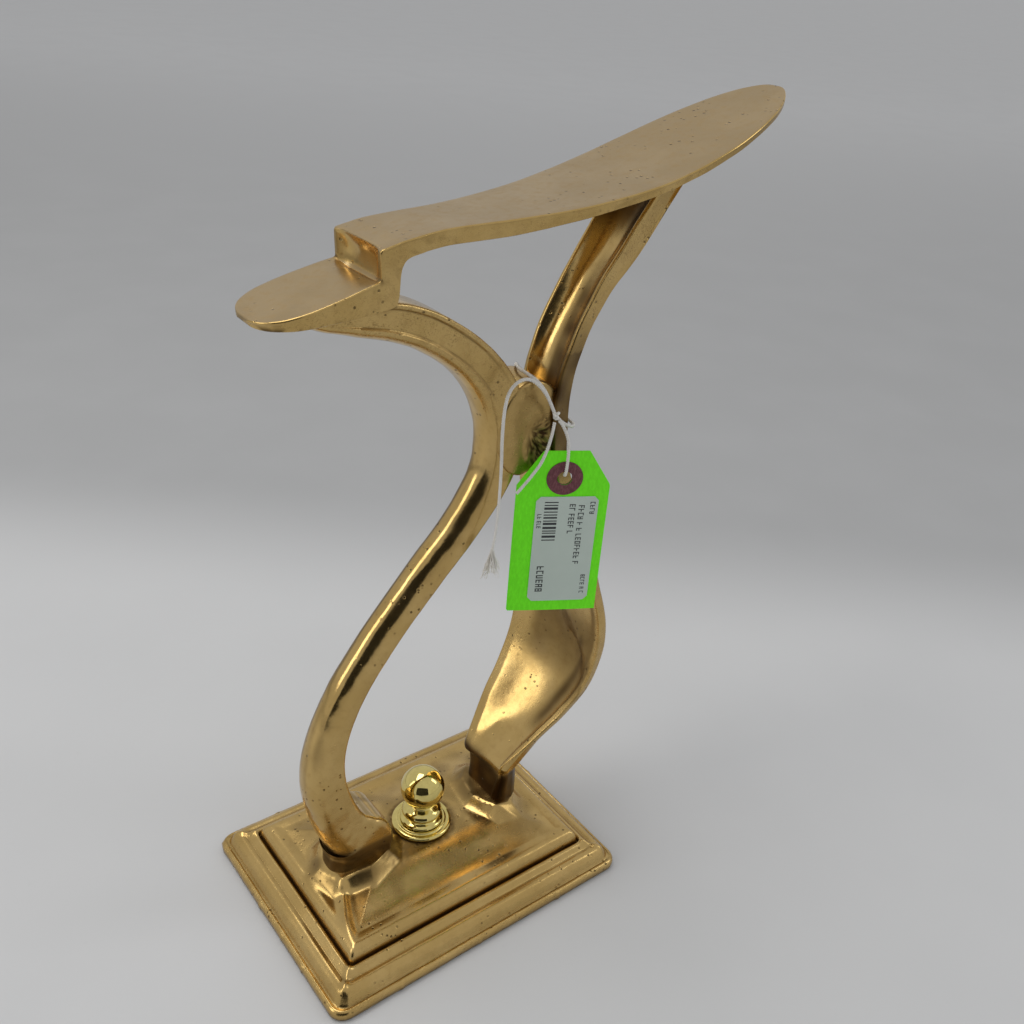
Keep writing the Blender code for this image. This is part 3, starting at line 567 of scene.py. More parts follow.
# ---- base ----
def boss_height(x, y):
    """The two cast bosses round the legs' feet: hand-ground facets down a short skirt."""
    height = 0.0
    for (cx, cy), rx, ry, rise, skirt, turn in BOSSES:
        dx, dy = x - cx, y - cy
        facet = max(dx * math.cos(math.radians(a + turn)) / rx + dy * math.sin(math.radians(a + turn)) / ry
                    for a in BOSS_FACETS)
        reach = 0.9 * facet + 0.1 * math.hypot(dx / rx, dy / ry)
        reach += 0.02 * ripple(x, y, 0.0, 6.0, cx)
        fade = min(max((reach - 0.96) * (rx + ry) / 2 / skirt, 0.0), 1.0)
        height += rise * (1.0 - fade) ** 1.35 * (1.0 + 0.05 * ripple(x, y, 5.0, 5.0, 2.0))
    return height


def hip_height(x, y):
    """Raised hip from the near heel corner of the cushion up to the heel boss."""
    path = ((-53.6, -36.6), (-50.0, -27.0), (-47.0, -19.0), (-44.0, -12.0))
    best, along = 1e9, 0.0
    for i, ((ax, ay), (bx, by)) in enumerate(zip(path, path[1:])):
        ex, ey = bx - ax, by - ay
        t = min(max(((x - ax) * ex + (y - ay) * ey) / (ex * ex + ey * ey), 0.0), 1.0)
        d = math.hypot(x - ax - ex * t, y - ay - ey * t)
        if d < best:
            best, along = d, (i + t) / (len(path) - 1)
    return 2.3 * smoothstep(0.0, 0.4, along) * bell(best, 2.3)


def base_ring(offset, z, corner, rise, long_steps=108, short_steps=80, corner_steps=8):
    """A rounded rectangle, offset inwards from the base's edge; rise lifts it over the bosses."""
    hx, hy = BASE_LENGTH / 2 - offset, BASE_WIDTH / 2 - offset
    corner = min(corner, hx * 0.6, hy * 0.6)
    corners = ((hx - corner, hy - corner, 0), (corner - hx, hy - corner, 90),
               (corner - hx, corner - hy, 180), (hx - corner, corner - hy, 270))
    points = []
    for index, (cx, cy, start) in enumerate(corners):
        for k in range(corner_steps + 1):
            angle = math.radians(start + 90 * k / corner_steps)
            points.append((cx + corner * math.cos(angle), cy + corner * math.sin(angle)))
        steps = long_steps if index % 2 == 0 else short_steps
        last = points[-1]
        nx, ny, next_start = corners[(index + 1) % 4]
        angle = math.radians(next_start)
        first = (nx + corner * math.cos(angle), ny + corner * math.sin(angle))
        for k in range(1, steps):
            f = k / steps
            points.append((last[0] + (first[0] - last[0]) * f, last[1] + (first[1] - last[1]) * f))
    ring = []
    for x, y in points:
        mitre = ((BASE_LENGTH / 2 - abs(x)) - (BASE_WIDTH / 2 - abs(y))) / math.sqrt(2)
        ridge = 0.75 * bell(mitre, 1.1) * smoothstep(3.0, 5.5, offset) * smoothstep(12.8, 11.0, offset)
        wave = 0.16 * ripple(x, y, offset, 16.0) if z > 0.5 else 0.0
        nick = 0.35 * smoothstep(0.35, 0.6, ripple(x, y, 0.0, 3.0, 7.0)) * smoothstep(3.0, 0.5, offset)
        lift = (boss_height(x, y) + hip_height(x, y)) * rise + ridge
        inset = wave - nick
        ring.append((x + math.copysign(inset, x), y + math.copysign(inset, y),
                     z + lift + (wave if z > 4 else 0.0)))
    return ring


def round_off(ring, share, radius, z, rise):
    """The ring drawn in towards a circle round the knob's stud."""
    out = []
    for x, y, _ in ring:
        angle = math.atan2(y, x)
        px = x + (radius * math.cos(angle) - x) * share
        py = y + (radius * math.sin(angle) - y) * share
        out.append((px, py, z + (boss_height(px, py) + hip_height(px, py)) * rise))
    return out


def inset_from_edge(x, y):
    return min(BASE_LENGTH / 2 - abs(x), BASE_WIDTH / 2 - abs(y))


def base_profile():
    """offset, height, corner radius and boss share, from the floor to the edge of the flat top."""
    rows = [(0.6, 0.0, 5.6, 0.0), (0.15, 0.6, 6.0, 0.0), (0.0, 1.8, 6.0, 0.0), (0.1, 2.9, 6.0, 0.0),
            (0.6, 3.8, 5.6, 0.0), (1.3, 4.25, 5.2, 0.0), (1.9, 4.1, 4.9, 0.0), (2.3, 4.0, 4.7, 0.0),
            (2.8, 4.5, 4.4, 0.0), (3.5, 6.0, 4.1, 0.0), (4.4, 7.6, 3.7, 0.0), (5.6, 8.75, 3.2, 0.0),
            (6.9, 9.2, 2.8, 0.0), (7.9, 9.05, 2.5, 0.0), (8.7, 9.0, 2.4, 0.0), (9.6, 9.7, 2.2, 0.0),
            (10.6, 10.7, 2.1, 0.0), (11.5, 11.0, 1.9, 0.0), (12.2, 10.75, 1.8, 0.0), (12.6, 10.0, 1.7, 0.0),
            (12.9, 9.5, 1.6, 0.0), (13.1, 10.2, 1.5, 0.0), (13.3, 11.8, 1.4, 0.0), (13.9, 13.6, 1.2, 0.0),
            (15.1, 15.1, 1.0, 0.1), (16.8, 15.8, 0.9, 0.3), (18.6, 15.75, 0.8, 0.5), (20.4, 15.5, 0.8, 0.7)]
    dense = smooth_rows(rows, 3)
    steps = 24
    for k in range(1, steps + 1):
        t = k / steps
        sweep = 0.3 * t + 0.7 * t * t * (3 - 2 * t)
        dense.append((20.4 + (PLATEAU_OFFSET - 20.4) * t, 15.5 + (PLATEAU_HEIGHT - 15.5) * sweep, 0.8,
                      0.7 + 0.3 * min(1.0, 4 * t)))
    return dense


def make_base(material):
    """Hollow base: mouldings, cushion and bosses outside, a cavity below, and the knob's hole."""
    outer = [base_ring(*row) for row in base_profile()]
    outer += [round_off(outer[-1], k / 24, SCREW_CLEARANCE, PLATEAU_HEIGHT, 1.0) for k in range(1, 25)]
    cavity = [(BASE_WALL, 0.0), (BASE_WALL + 0.6, 2.4), (9.0, 5.6), (15.5, 7.4), (19.0, 11.4),
              (24.0, CAVITY_HEIGHT)]
    inner = [base_ring(offset, z, 2.0, 0.0) for offset, z in cavity]
    inner += [round_off(inner[-1], k / 4, SCREW_CLEARANCE, CAVITY_HEIGHT, 0.0) for k in range(1, 5)]
    rings = outer + list(reversed(inner))

    def grime(x, y, z):
        inset = inset_from_edge(x, y)
        speck = cloud(x, y, z, 1.6)
        patch = cloud(x, y, z, 9.0, 4.0)
        # Painted shade, with some patina, darkens the groove under the cushion.
        groove = (0.72 + 0.25 * patch) * bell(inset - 12.95, 0.36) * (z < 12.4)
        # Painted shade in the two valleys of the lower moulding.
        upper_valley_shade = 0.5 * bell(inset - 8.4, 0.5) * patch
        lower_valley_shade = 0.6 * bell(inset - 2.2, 0.45) * (0.4 + 0.6 * patch)
        # Darker towards the bottom edge, in specks.
        skirt = smoothstep(3.4, 0.4, z) * (0.25 + 0.75 * speck) * (inset < 3)
        near_foot = min(math.hypot((x - HEEL_FOOT[0]) / 17.0, y / 15.5),
                        math.hypot((x - TOE_FOOT[0]) / 12.0, y / 16.5))
        foot = 0.6 * smoothstep(1.35, 0.8, near_foot) * smoothstep(0.40, 0.70, patch)
        # A painted shadow in a ring round the foot of the knob's flange.
        ring = bell(math.hypot(x, y) - 12.9, 2.0)
        flange_shadow = 0.95 * ring * (0.45 + 0.55 * speck)
        stain = 0.62 * smoothstep(17.0, 5.0, math.hypot(x + 19.0, y + 6.0)) * smoothstep(0.25, 0.6, speck)
        copper = 0.30 * smoothstep(15.0, 24.0, inset) * smoothstep(0.35, 0.7, patch)
        dark = max(groove, upper_valley_shade, lower_valley_shade, skirt, foot, flange_shadow, stain, copper)
        return dark + 0.08 * smoothstep(0.6, 0.9, patch)

    def satin(x, y, z):
        return 0.19 + 0.04 * ripple(x, y, z, 20.0, 1.0)

    def grain(x, y, z):
        inset = inset_from_edge(x, y)
        return 0.8 * smoothstep(5.0, 0.5, inset) * smoothstep(0.35, 0.7, cloud(x, y, z, 6.0, 8.0))

    return casting("base_moulding", rings, material, "base_casting", grime, satin, grain, closed=True)


# ---- legs ----
def side_frames(rows):
    """Unit tangent and normal of a side-view line; the normal is the tangent turned left."""
    frames = []
    for i in range(len(rows)):
        a, b = rows[max(i - 1, 0)], rows[min(i + 1, len(rows) - 1)]
        tangent = Vector((b[0] - a[0], b[1] - a[1])).normalized()
        frames.append((tangent, Vector((-tangent[1], tangent[0]))))
    return frames


def d_section(width, depth, round_share, edge, recess):
    """(across, y, crease) points of a D: flat inner face, recessed sides, rounded outer face."""
    half, top, low = width / 2, depth / 2, -depth / 2
    bulge = depth * round_share
    side = [(top, half * k / 6 * (1 - edge / half), 0.0) for k in range(6)]
    for k in range(6):
        angle = math.radians(90 - 90 * k / 5)
        side.append((top - edge + edge * math.sin(angle), half - edge + edge * math.cos(angle), 0.0))
    flat_low = low + bulge
    for k in range(1, 21):
        t = k / 21
        a = (top - edge) + (flat_low - top + edge) * t
        window = smoothstep(0.06, 0.15, t) * smoothstep(1.0, 0.90, t)
        # The recess's two edges get a crease mark, painted shade that darkens the colour.
        crease = max(bell(t - 0.14, 0.04), bell(t - 0.92, 0.04))
        side.append((a, half - recess * window, crease * min(recess, 1.0)))
    for k in range(0, 15):
        angle = math.radians(90 * k / 15)
        side.append((flat_low - bulge * math.sin(angle), half * math.cos(angle) ** 0.86, 0.0))
    side.append((low, 0.0, 0.0))
    return side + [(a, -y, crease) for a, y, crease in reversed(side[1:-1])]


def make_heel_leg(material):
    rows = smooth_rows(HEEL_LEG_LINE, 12)
    rings = []
    for (x, z, width, depth, share), (_, normal) in zip(rows, side_frames(rows)):
        normal = normal.lerp(Vector((1.0, 0.0)), smoothstep(*HEEL_LEVEL, z)).normalized()
        recess = 0.85 * smoothstep(-44.0, -30.0, x) * smoothstep(206.0, 222.0, z)
        edge = min(1.0 + 1.2 * smoothstep(70.0, 40.0, z), depth * 0.3)
        ring = []
        for a, y, crease in d_section(width, depth, share, edge, recess):
            px, pz = x + normal[0] * a, z + normal[1] * a
            wave = 0.22 * ripple(px, y, pz, 13.0, 2.0) + 0.10 * ripple(px, y, pz, 5.0, 6.0)
            ring.append((px + normal[0] * wave, y + math.copysign(wave, y) * (abs(y) > 0.1),
                         pz + normal[1] * wave, crease * (0.55 + 0.45 * ripple(px, y, pz, 9.0, 4.0))))
        rings.append(ring)

    def grime(x, y, z):
        patch = cloud(x, y, z, 8.0, 1.0)
        # Darker towards the foot of the leg, unevenly.
        foot = smoothstep(35.5, 32.5, z) * (0.55 + 0.35 * patch)
        # Painted shade on the leg's top under the heel plate.
        under = 0.55 * bell(z - 247.6, 1.1) * (-60 < x < -22)
        streak = 0.35 * smoothstep(0.55, 0.85, cloud(x * 0.5, y * 3, z * 0.5, 9.0, 5.0))
        # A painted dark reflection streak down the far side of the leg's lower run.
        run = smoothstep(66.0, 84.0, z) * smoothstep(196.0, 176.0, z) * (0.75 + 0.35 * patch)
        painted_dark_streak = 0.62 * run * smoothstep(1.2, 3.4, y)
        return max(foot, under, painted_dark_streak, streak * smoothstep(7.2, 6.0, abs(y)))

    def satin(x, y, z):
        flank = smoothstep(0.72, 0.95, abs(y) / 7.6)
        return 0.11 + 0.10 * flank + 0.03 * smoothstep(150.0, 200.0, z)

    def grain(x, y, z):
        arm = smoothstep(196.0, 222.0, z) * smoothstep(5.4, 6.2, abs(y))
        return arm * (0.25 + 0.45 * smoothstep(0.35, 0.65, cloud(x, y, z, 7.0, 9.0)))

    return casting("heel_leg_casting", rings, material, "heel_leg", grime, satin, grain, 50.0)


def scoop_section(width, thick, lip, scoop, lower, edge):
    """(y, across, crease) points of the toe leg: hollowed front, edges of a given radius, crowned back.

    lip is how thick its sides are, and thick how thick it is in the middle. lower goes from 0, a
    channel between two narrow rims, to 1, a broad hollow that runs out to the far edge and stops at a
    crease beside the near one.
    """
    half = width / 2
    near_rim, far_rim = 2.6, 4.6
    front = []
    for k in range(47):
        y = (-1 + 2 * k / 46) * (half - edge)
        channel = max(0.0, 1.0 - (abs(y) / (half - 1.5)) ** 2.6)
        u = (y + half - near_rim) / (2 * half - near_rim - far_rim)
        shovel = max(math.sin(math.pi * min(u, 1.0) ** 0.66), 0.0) if u > 0 else 0.0
        step = 0.5 * smoothstep(0.0, 0.05, u) * smoothstep(1.0, 0.7, u)
        depth = scoop * (channel * (1 - lower) + shovel * lower) + step * lower
        # The crease beside the near rim is darkened in the colour as painted shade.
        front.append((y, -depth, 0.75 * lower * bell(u - 0.02, 0.022)))
    turns = [math.radians(15 * k) for k in range(1, 7)]
    corner = [(half - edge + edge * math.sin(a), -edge + edge * math.cos(a), 0.0) for a in turns]
    flank = [(half - 0.02 * lip * k, -edge - (lip - 2 * edge) * k / 6, 0.0) for k in range(1, 7)]
    back = []
    for k in range(17):
        u = 1 - 2 * k / 16
        back.append((u * (half - 1.2 * edge), -lip - (1.14 * thick - lip) * (1 - u * u), 0.0))
    left = [(-y, s, c) for y, s, c in reversed(corner + flank)]
    return front + corner + flank + back + left


def make_toe_leg(material):
    rows = smooth_rows(TOE_LEG_LINE, 14)
    rings = []
    for (x, z, width, thick, scoop), (_, normal) in zip(rows, side_frames(rows)):
        if normal[0] > 0:
            normal = -normal
        normal = normal.lerp(Vector((-1.0, 0.0)), smoothstep(*TOE_LEVEL, z))
        normal = normal.lerp(SOLE_UNDERSIDE, smoothstep(*FLARE, z)).normalized()
        lower = smoothstep(165.0, 140.0, z)
        lip = thick * (1 - 0.62 * smoothstep(150.0, 125.0, z) * smoothstep(44.0, 60.0, z))
        edge = 0.7 + (0.32 * thick - 0.7) * smoothstep(56.0, 42.0, z)
        droop = 4.5 * smoothstep(64.0, 48.0, z) * smoothstep(34.0, 42.0, z)
        ring = []
        for y, s, crease in scoop_section(width, thick, lip, scoop, lower, edge):
            if lower > 0 and s > -lip + 0.6 and abs(y) < width / 2 - 0.75:
                facet = 115.0 + 0.95 * y + 1.5 * ripple(y, 0, z, 6.0)
                below = smoothstep(facet + 1.0, facet - 14.0, z)
                s *= below * lower + (1 - lower)
                # The crease along the foot of the flat facet is darkened as painted shade.
                crease = max(crease, 0.35 * lower * bell(z - facet + 1.0, 1.4))
            wave = 0.20 * ripple(x, y, z, 11.0, 3.0)
            px, pz = x + normal[0] * (s + wave), z + normal[1] * (s + wave)
            pz = min(pz - droop * smoothstep(-6.0, 14.0, y), sole_top(px) - 1.6)
            ring.append((px, y + wave * 0.6, pz, crease * smoothstep(50.0, 58.0, z)))
        rings.append(ring)

    def grime(x, y, z):
        patch = cloud(x, y, z, 7.0, 1.5)
        # Darker towards the foot of the leg, unevenly.
        foot = smoothstep(43.0, 38.0, z) * (0.80 + 0.35 * patch)
        # Painted shade on the top of the leg, up under the sole.
        under_sole_shade = 0.85 * smoothstep(254.0, 266.0, z) * smoothstep(9.6, 8.6, abs(y))
        # Painted dark reflections: a dark strip on the near side beside the web, and a dark band over the
        # near half of the upper hollow.
        strip = 0.78 * smoothstep(-8.4, -9.4, y) * smoothstep(240.0, 214.0, z) * smoothstep(168.0, 182.0, z)
        hollow = 0.95 * smoothstep(258.0, 236.0, z) * smoothstep(168.0, 182.0, z) * smoothstep(2.5, -0.5, y)
        hollow *= smoothstep(-9.4, -8.4, y) if z > 222 else 1.0
        # Painted dark reflections in the lower scoop: its upper part is darkened so that the highlight sits
        # lower, and a dark streak runs down its near wall.
        inside = smoothstep(17.0, 11.0, y) * (abs(y) < 24)
        scoop = 0.62 * smoothstep(66.0, 88.0, z) * smoothstep(118.0, 104.0, z) * (0.7 + 0.4 * patch) * inside
        wall_y = -16.5 + 0.20 * max(90.0 - z, 0.0)
        wall = 0.85 * bell(y - wall_y, 3.4) * smoothstep(54.0, 62.0, z) * smoothstep(112.0, 98.0, z)
        return max(foot, under_sole_shade, strip * (0.6 + 0.6 * patch), hollow * (0.5 + 0.6 * patch), scoop,
                   wall * (0.7 + 0.4 * patch))

    def satin(x, y, z):
        facet = 0.05 * smoothstep(100.0, 125.0, z) * (z < 160)
        scoop = 0.08 * smoothstep(122.0, 100.0, z) * smoothstep(50.0, 62.0, z)
        return 0.14 + 0.04 * ripple(x, y, z, 14.0, 2.0) + facet + scoop

    def grain(x, y, z):
        rim = smoothstep(0.8, 1.0, abs(y) / 20.0) if z < 150 else smoothstep(8.8, 9.8, abs(y))
        return rim * (0.35 + 0.5 * ripple(x, y, z, 6.0, 7.0))

    return casting("toe_leg_casting", rings, material, "toe_leg", grime, satin, grain, 50.0)


def make_web(material):
    """Braze-filled web between the legs: flush and smooth, with a rough unfinished lower corner."""
    corners = [(19.8, 190.0), (23.0, 182.6), (29.0, 178.6), (35.0, 179.8), (42.0, 181.6), (47.0, 186.0),
               (47.5, 196.0), (46.0, 206.0), (41.0, 210.6), (35.0, 213.6), (28.5, 213.4), (22.6, 208.6),
               (19.6, 200.0), (19.8, 190.0)]
    outline = smooth_rows(corners, 9)[:-1]
    middle = (32.0, 196.0)
    levels = [(1.0, 6.6), (0.995, 7.5), (0.975, 7.95), (0.94, 8.15), (0.88, 8.25), (0.8, 8.3), (0.71, 8.3),
              (0.62, 8.25), (0.53, 8.2), (0.44, 8.1), (0.35, 8.05), (0.26, 8.0), (0.16, 8.0), (0.06, 8.0)]
    rings = []
    for scale, y in [(s, -h) for s, h in levels[::-1]] + levels:
        ring = []
        for x, z in outline:
            px, pz = middle[0] + (x - middle[0]) * scale, middle[1] + (z - middle[1]) * scale
            rough = rough_corner(px, pz)
            sink = 1.1 * rough + 0.9 * rough * max(0.0, ripple(px, y, pz, 1.2, 5.0))
            wave = 0.25 * ripple(px, y, pz, 8.0, 2.0) - sink
            ring.append((px, y + math.copysign(wave, y), pz))
        rings.append(ring)

    def grime(x, y, z):
        pore = smoothstep(-0.15, 0.12, ripple(x, y, z, 1.0, 5.0))
        seam = 0.35 * bell(abs(y) - 7.55, 0.22)
        return max(rough_corner(x, z) * (0.35 + 0.65 * pore), seam, 0.16)

    return casting("crossing_web_casting", rings, material, "crossing_web", grime, lambda x, y, z: 0.228,
                   lambda x, y, z: rough_corner(x, z), 60.0)


# ---- heel rest and sole plate ----
# Ribs of one strap from the heel's tip, up the riser and out to the sole's toe:
# x, z of its upper face; x, z of its lower face; half width; hollow of the upper face
REST_RIBS = [
    (-67.5, 248.6, -67.5, 248.1, 2.6, 0.0), (-67.3, 249.1, -67.3, 247.5, 4.2, 0.0),
    (-66.8, 249.3, -66.7, 247.2, 6.0, 0.0), (-65.8, 249.5, -65.6, 247.1, 8.2, 0.0),
    (-64.0, 250.0, -63.8, 247.1, 10.4, 0.0), (-61.4, 250.6, -61.2, 247.2, 12.3, 0.0),
    (-58.0, 251.5, -57.8, 247.3, 13.7, 0.0), (-53.5, 252.6, -53.0, 247.5, 14.5, 0.0),
    (-48.0, 254.0, -47.4, 247.8, 14.7, 0.0), (-42.0, 255.5, -41.0, 248.2, 14.5, 0.0),
    (-37.0, 256.8, -35.0, 248.6, 14.1, 0.1), (-33.6, 257.6, -30.4, 248.9, 13.8, 0.6),
    (-32.0, 258.0, -27.6, 249.2, 13.6, 1.8), (-31.5, 258.5, -25.8, 250.0, 13.5, 3.0),
    (-31.5, 259.6, -25.0, 252.2, 13.5, 3.5), (-31.6, 261.2, -24.7, 255.4, 13.5, 3.7),
    (-31.7, 263.0, -24.5, 258.4, 13.5, 3.6), (-31.8, 264.8, -24.0, 260.8, 13.5, 3.2),
    (-31.8, 266.2, -22.9, 262.6, 13.5, 2.2), (-31.4, 266.95, -21.2, 263.6, 13.5, 0.8),
    (-30.4, 267.25, -19.0, 264.1, 13.45, 0.1), (-27.0, 268.0, -17.0, 264.4, 13.3, 0.0),
    (-22.0, 269.0, -15.0, 264.7, 13.1, 0.0), (-10.0, 270.3, -7.0, 265.2, 12.2, 0.0),
    (3.0, 271.0, 4.0, 265.6, 12.8, 0.0), (18.0, 272.0, 18.5, 266.9, 15.0, 0.0),
    (36.0, 273.8, 36.2, 269.7, 17.9, 0.0), (54.0, 276.8, 54.2, 273.4, 20.5, 0.0),
    (70.0, 280.4, 70.2, 277.4, 22.1, 0.0), (85.0, 284.9, 85.3, 282.1, 22.3, 0.0),
    (100.0, 290.0, 100.4, 287.3, 21.2, 0.0), (112.0, 294.4, 112.4, 291.9, 19.0, 0.0),
    (123.0, 298.6, 123.4, 296.3, 15.6, 0.0), (131.0, 301.7, 131.4, 299.6, 11.4, 0.0),
    (136.0, 303.6, 136.2, 301.9, 7.2, 0.0), (138.2, 304.4, 138.2, 303.1, 4.2, 0.0),
    (138.9, 304.6, 138.9, 303.7, 1.9, 0.0)]


def make_rest(material):
    """Heel rest, riser and sole plate as the one casting they are."""
    rings = []
    for tx, tz, bx, bz, half, hollow in smooth_rows(REST_RIBS, 5):
        top, low = Vector((tx, tz)), Vector((bx, bz))
        down = low - top
        thick = max(down.length, 0.2)
        down.normalize()
        edge = min(0.45, thick * 0.3, half * 0.3)
        section = []
        for k in range(25):
            y = (-1 + 2 * k / 24) * (half - edge)
            share = max(0.0, 1.0 - (abs(y) / (half - 1.8)) ** 5.0) if half > 2.0 else 0.0
            section.append((y, hollow * share, 0.0))
        section += [(half - edge + edge * math.sin(math.radians(22.5 * k)),
                     edge - edge * math.cos(math.radians(22.5 * k)), 1.0) for k in (1, 2, 3, 4)]
        slope = 0.10 * min(thick, 6.0)
        section += [(half - slope * k / 6, edge + (thick - 1.6 * edge) * k / 6, 0.0) for k in range(1, 7)]
        inner = half - slope - edge
        section += [(inner - 2 * inner * k / 14, thick, 0.0) for k in range(15)]
        section += [(-y, d, s) for y, d, s in reversed(section[25:35])]
        ring = []
        for y, d, shine in section:
            px, pz = tx + down[0] * d, tz + down[1] * d
            wave = (0.05 if d < 0.3 and hollow < 0.3 else 0.16) * ripple(px, y, pz, 12.0, 5.0)
            ring.append((px, y + 0.4 * wave, pz + wave, 0.0, shine))
        rings.append(ring)

    def flank(x, y, z):
        """1 on the plate's sides and underside, 0 on its top and on the scooped riser."""
        below = (sole_top(x) if x > -31.2 else heel_top(x)) - z
        riser = smoothstep(-33.0, -32.2, x) * smoothstep(-25.6, -27.0, x) * smoothstep(12.8, 12.2, abs(y))
        return smoothstep(0.5, 1.4, below) * (1 - riser)

    def grime(x, y, z):
        patch = cloud(x, y, z, 2.2, 3.0)
        # Painted shade in the corner at the foot of the riser and along both sides of the riser.
        corner = 0.75 * bell(math.hypot(x + 31.6, z - 258.3), 0.6)
        corner = max(corner, 0.7 * bell(abs(y) - 12.4, 0.5) * (-33 < x < -26) * (259 < z < 266))
        low_edge = 0.8 * smoothstep(249.0, 247.4, z) * smoothstep(0.4, 0.7, patch) * (x < -26)
        return max(corner, low_edge, 0.22 * flank(x, y, z) * smoothstep(0.55, 0.8, patch))

    def satin(x, y, z):
        riser = bell(x + 29.0, 2.8) * smoothstep(257.0, 258.6, z) * smoothstep(267.0, 266.2, z)
        return 0.30 - 0.20 * riser - 0.08 * flank(x, y, z) + 0.02 * ripple(x, y, z, 22.0)

    def grain(x, y, z):
        return 0.5 * flank(x, y, z) * (0.3 + 0.7 * cloud(x, y, z, 6.0, 2.0))

    return casting("shoe_rest_casting", rings, material, ["heel_plate", "sole_plate"], grime, satin, grain,
                   32.0)


def rough_corner(x, z):
    """1 in the web's unfinished corner beside the toe leg, 0 away from it."""
    return smoothstep(9.0, 4.5, math.hypot((x - 37.5) * 1.1, (z - 188.5) * 0.62))


def heel_top(x):
    return HEEL_TIP_TOP + HEEL_SLOPE * (x + HEEL_TIP)


def sole_top(x):
    upper = [(tx, tz) for tx, tz, _, _, _, _ in REST_RIBS[20:]]
    for (ax, az), (bx, bz) in zip(upper, upper[1:]):
        if x <= bx:
            return az + (bz - az) * (x - ax) / (bx - ax)
    return upper[-1][1]


# ---- knob ----
def make_knob(material):
    low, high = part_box("knob")
    top = high.z / MM
    centre = top - KNOB_BALL_RADIUS
    profile = [(0.0, top)] + arc((0, centre), KNOB_BALL_RADIUS, 90, -57, 40)[1:]
    collar = [(4.7, centre - 7.9), (4.6, centre - 8.5), (5.6, 29.8), (7.2, 28.8), (8.1, 27.5), (8.0, 26.3),
              (7.1, 25.5), (6.7, 25.0), (7.2, 24.5), (8.3, 23.9), (8.8, 23.3), (8.7, 22.9)]
    profile += smooth_rows(collar, 5)[1:]
    tip = low.z / MM
    profile += [(STUD_RADIUS, 22.9), (STUD_RADIUS, tip + 0.8), (2.3, tip), (0.0, tip)]
    points, faces = turned_points(profile, 96)
    grime = [0.8 * bell(math.hypot(x, y) - 4.8, 0.5) * (29 < z < 33) for x, y, z in points]
    make_piece("knob_turned", points, faces, material, "knob", "knob", {"grime": grime})


def make_flange(material):
    low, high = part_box("knob_flange")
    z0, z1 = low.z / MM, high.z / MM
    edge = [(9.0, z1), (9.6, z1 - 0.02), (9.9, z1 - 0.35), (10.3, z1 - 0.55), (10.9, z1 - 0.5),
            (11.6, z1 - 0.62), (12.1, z1 - 1.0), (12.3, z1 - 1.5), (12.2, z0 + 0.35), (11.9, z0)]
    profile = [(SCREW_CLEARANCE, z1)] + smooth_rows(edge, 4) + [(SCREW_CLEARANCE, z0)]
    points, faces = turned_points(profile, 96)
    grime = [0.9 * bell(math.hypot(x, y) - 10.1, 0.4) for x, y, _ in points]
    make_piece("knob_flange_turned", points, faces, material, "knob_flange", "knob_flange",
               {"grime": grime})


# ---- price tag ----
def tag_point(x, y, z):
    """A place on the slightly bowed tag, from its hole: x across it, z up it, y away from its front."""
    bow = TAG_CURL * (z / 55.0) ** 2 * (1 if z < 0 else 0) - TAG_ARCH * (x / (TAG_WIDTH / 2)) ** 2
    turned = Matrix.Rotation(TAG_TURN, 3, "Z") @ Vector((x, y - bow, z))
    return tuple(Vector(TAG_HOLE) + turned)


def sheet_with_hole(name, outline, hole, front, back, material, node, rings=14):
    """A thin flat sheet between an outline and a round hole, bowed with the card; y runs front to back."""
    count = len(outline)
    loops = []
    for k in range(rings + 1):
        t = k / rings
        loops.append([(ox + (hx - ox) * t, oz + (hz - oz) * t) for (ox, oz), (hx, hz) in zip(outline, hole)])
    points = []
    for side_y in (front, back):
        for loop in loops:
            points += [tag_point(x, side_y, z) for x, z in loop]
    size = rings + 1
    faces = []
    for k in range(rings):
        for i in range(count):
            j = (i + 1) % count
            a, b = k * count, (k + 1) * count
            faces.append((a + i, a + j, b + j, b + i))
            a, b = (size + k) * count, (size + k + 1) * count
            faces.append((a + i, b + i, b + j, a + j))
    for loop in (0, rings):
        for i in range(count):
            j = (i + 1) % count
            a, b = loop * count, (size + loop) * count
            faces.append((a + i, b + i, b + j, a + j))
    return make_piece(name, points, faces, material, "tag", node, smooth_angle=30)


def spread_outline(corners, count):
    """count points evenly round a closed outline."""
    loop = [Vector((x, z, 0.0)) for x, z in corners]
    total = sum((loop[(i + 1) % len(loop)] - loop[i]).length for i in range(len(loop)))
    out, i, walked = [], 0, 0.0
    for k in range(count):
        want = total * k / count
        while walked + (loop[(i + 1) % len(loop)] - loop[i]).length < want - 1e-9:
            walked += (loop[(i + 1) % len(loop)] - loop[i]).length
            i += 1
        edge = loop[(i + 1) % len(loop)] - loop[i]
        out.append(tuple((loop[i] + edge * ((want - walked) / edge.length))[:2]))
    return out


def hole_loop(outline, radius):
    """Points of the hole, each in the direction of its outline point."""
    return [(radius * x / math.hypot(x, z), radius * z / math.hypot(x, z)) for x, z in outline]


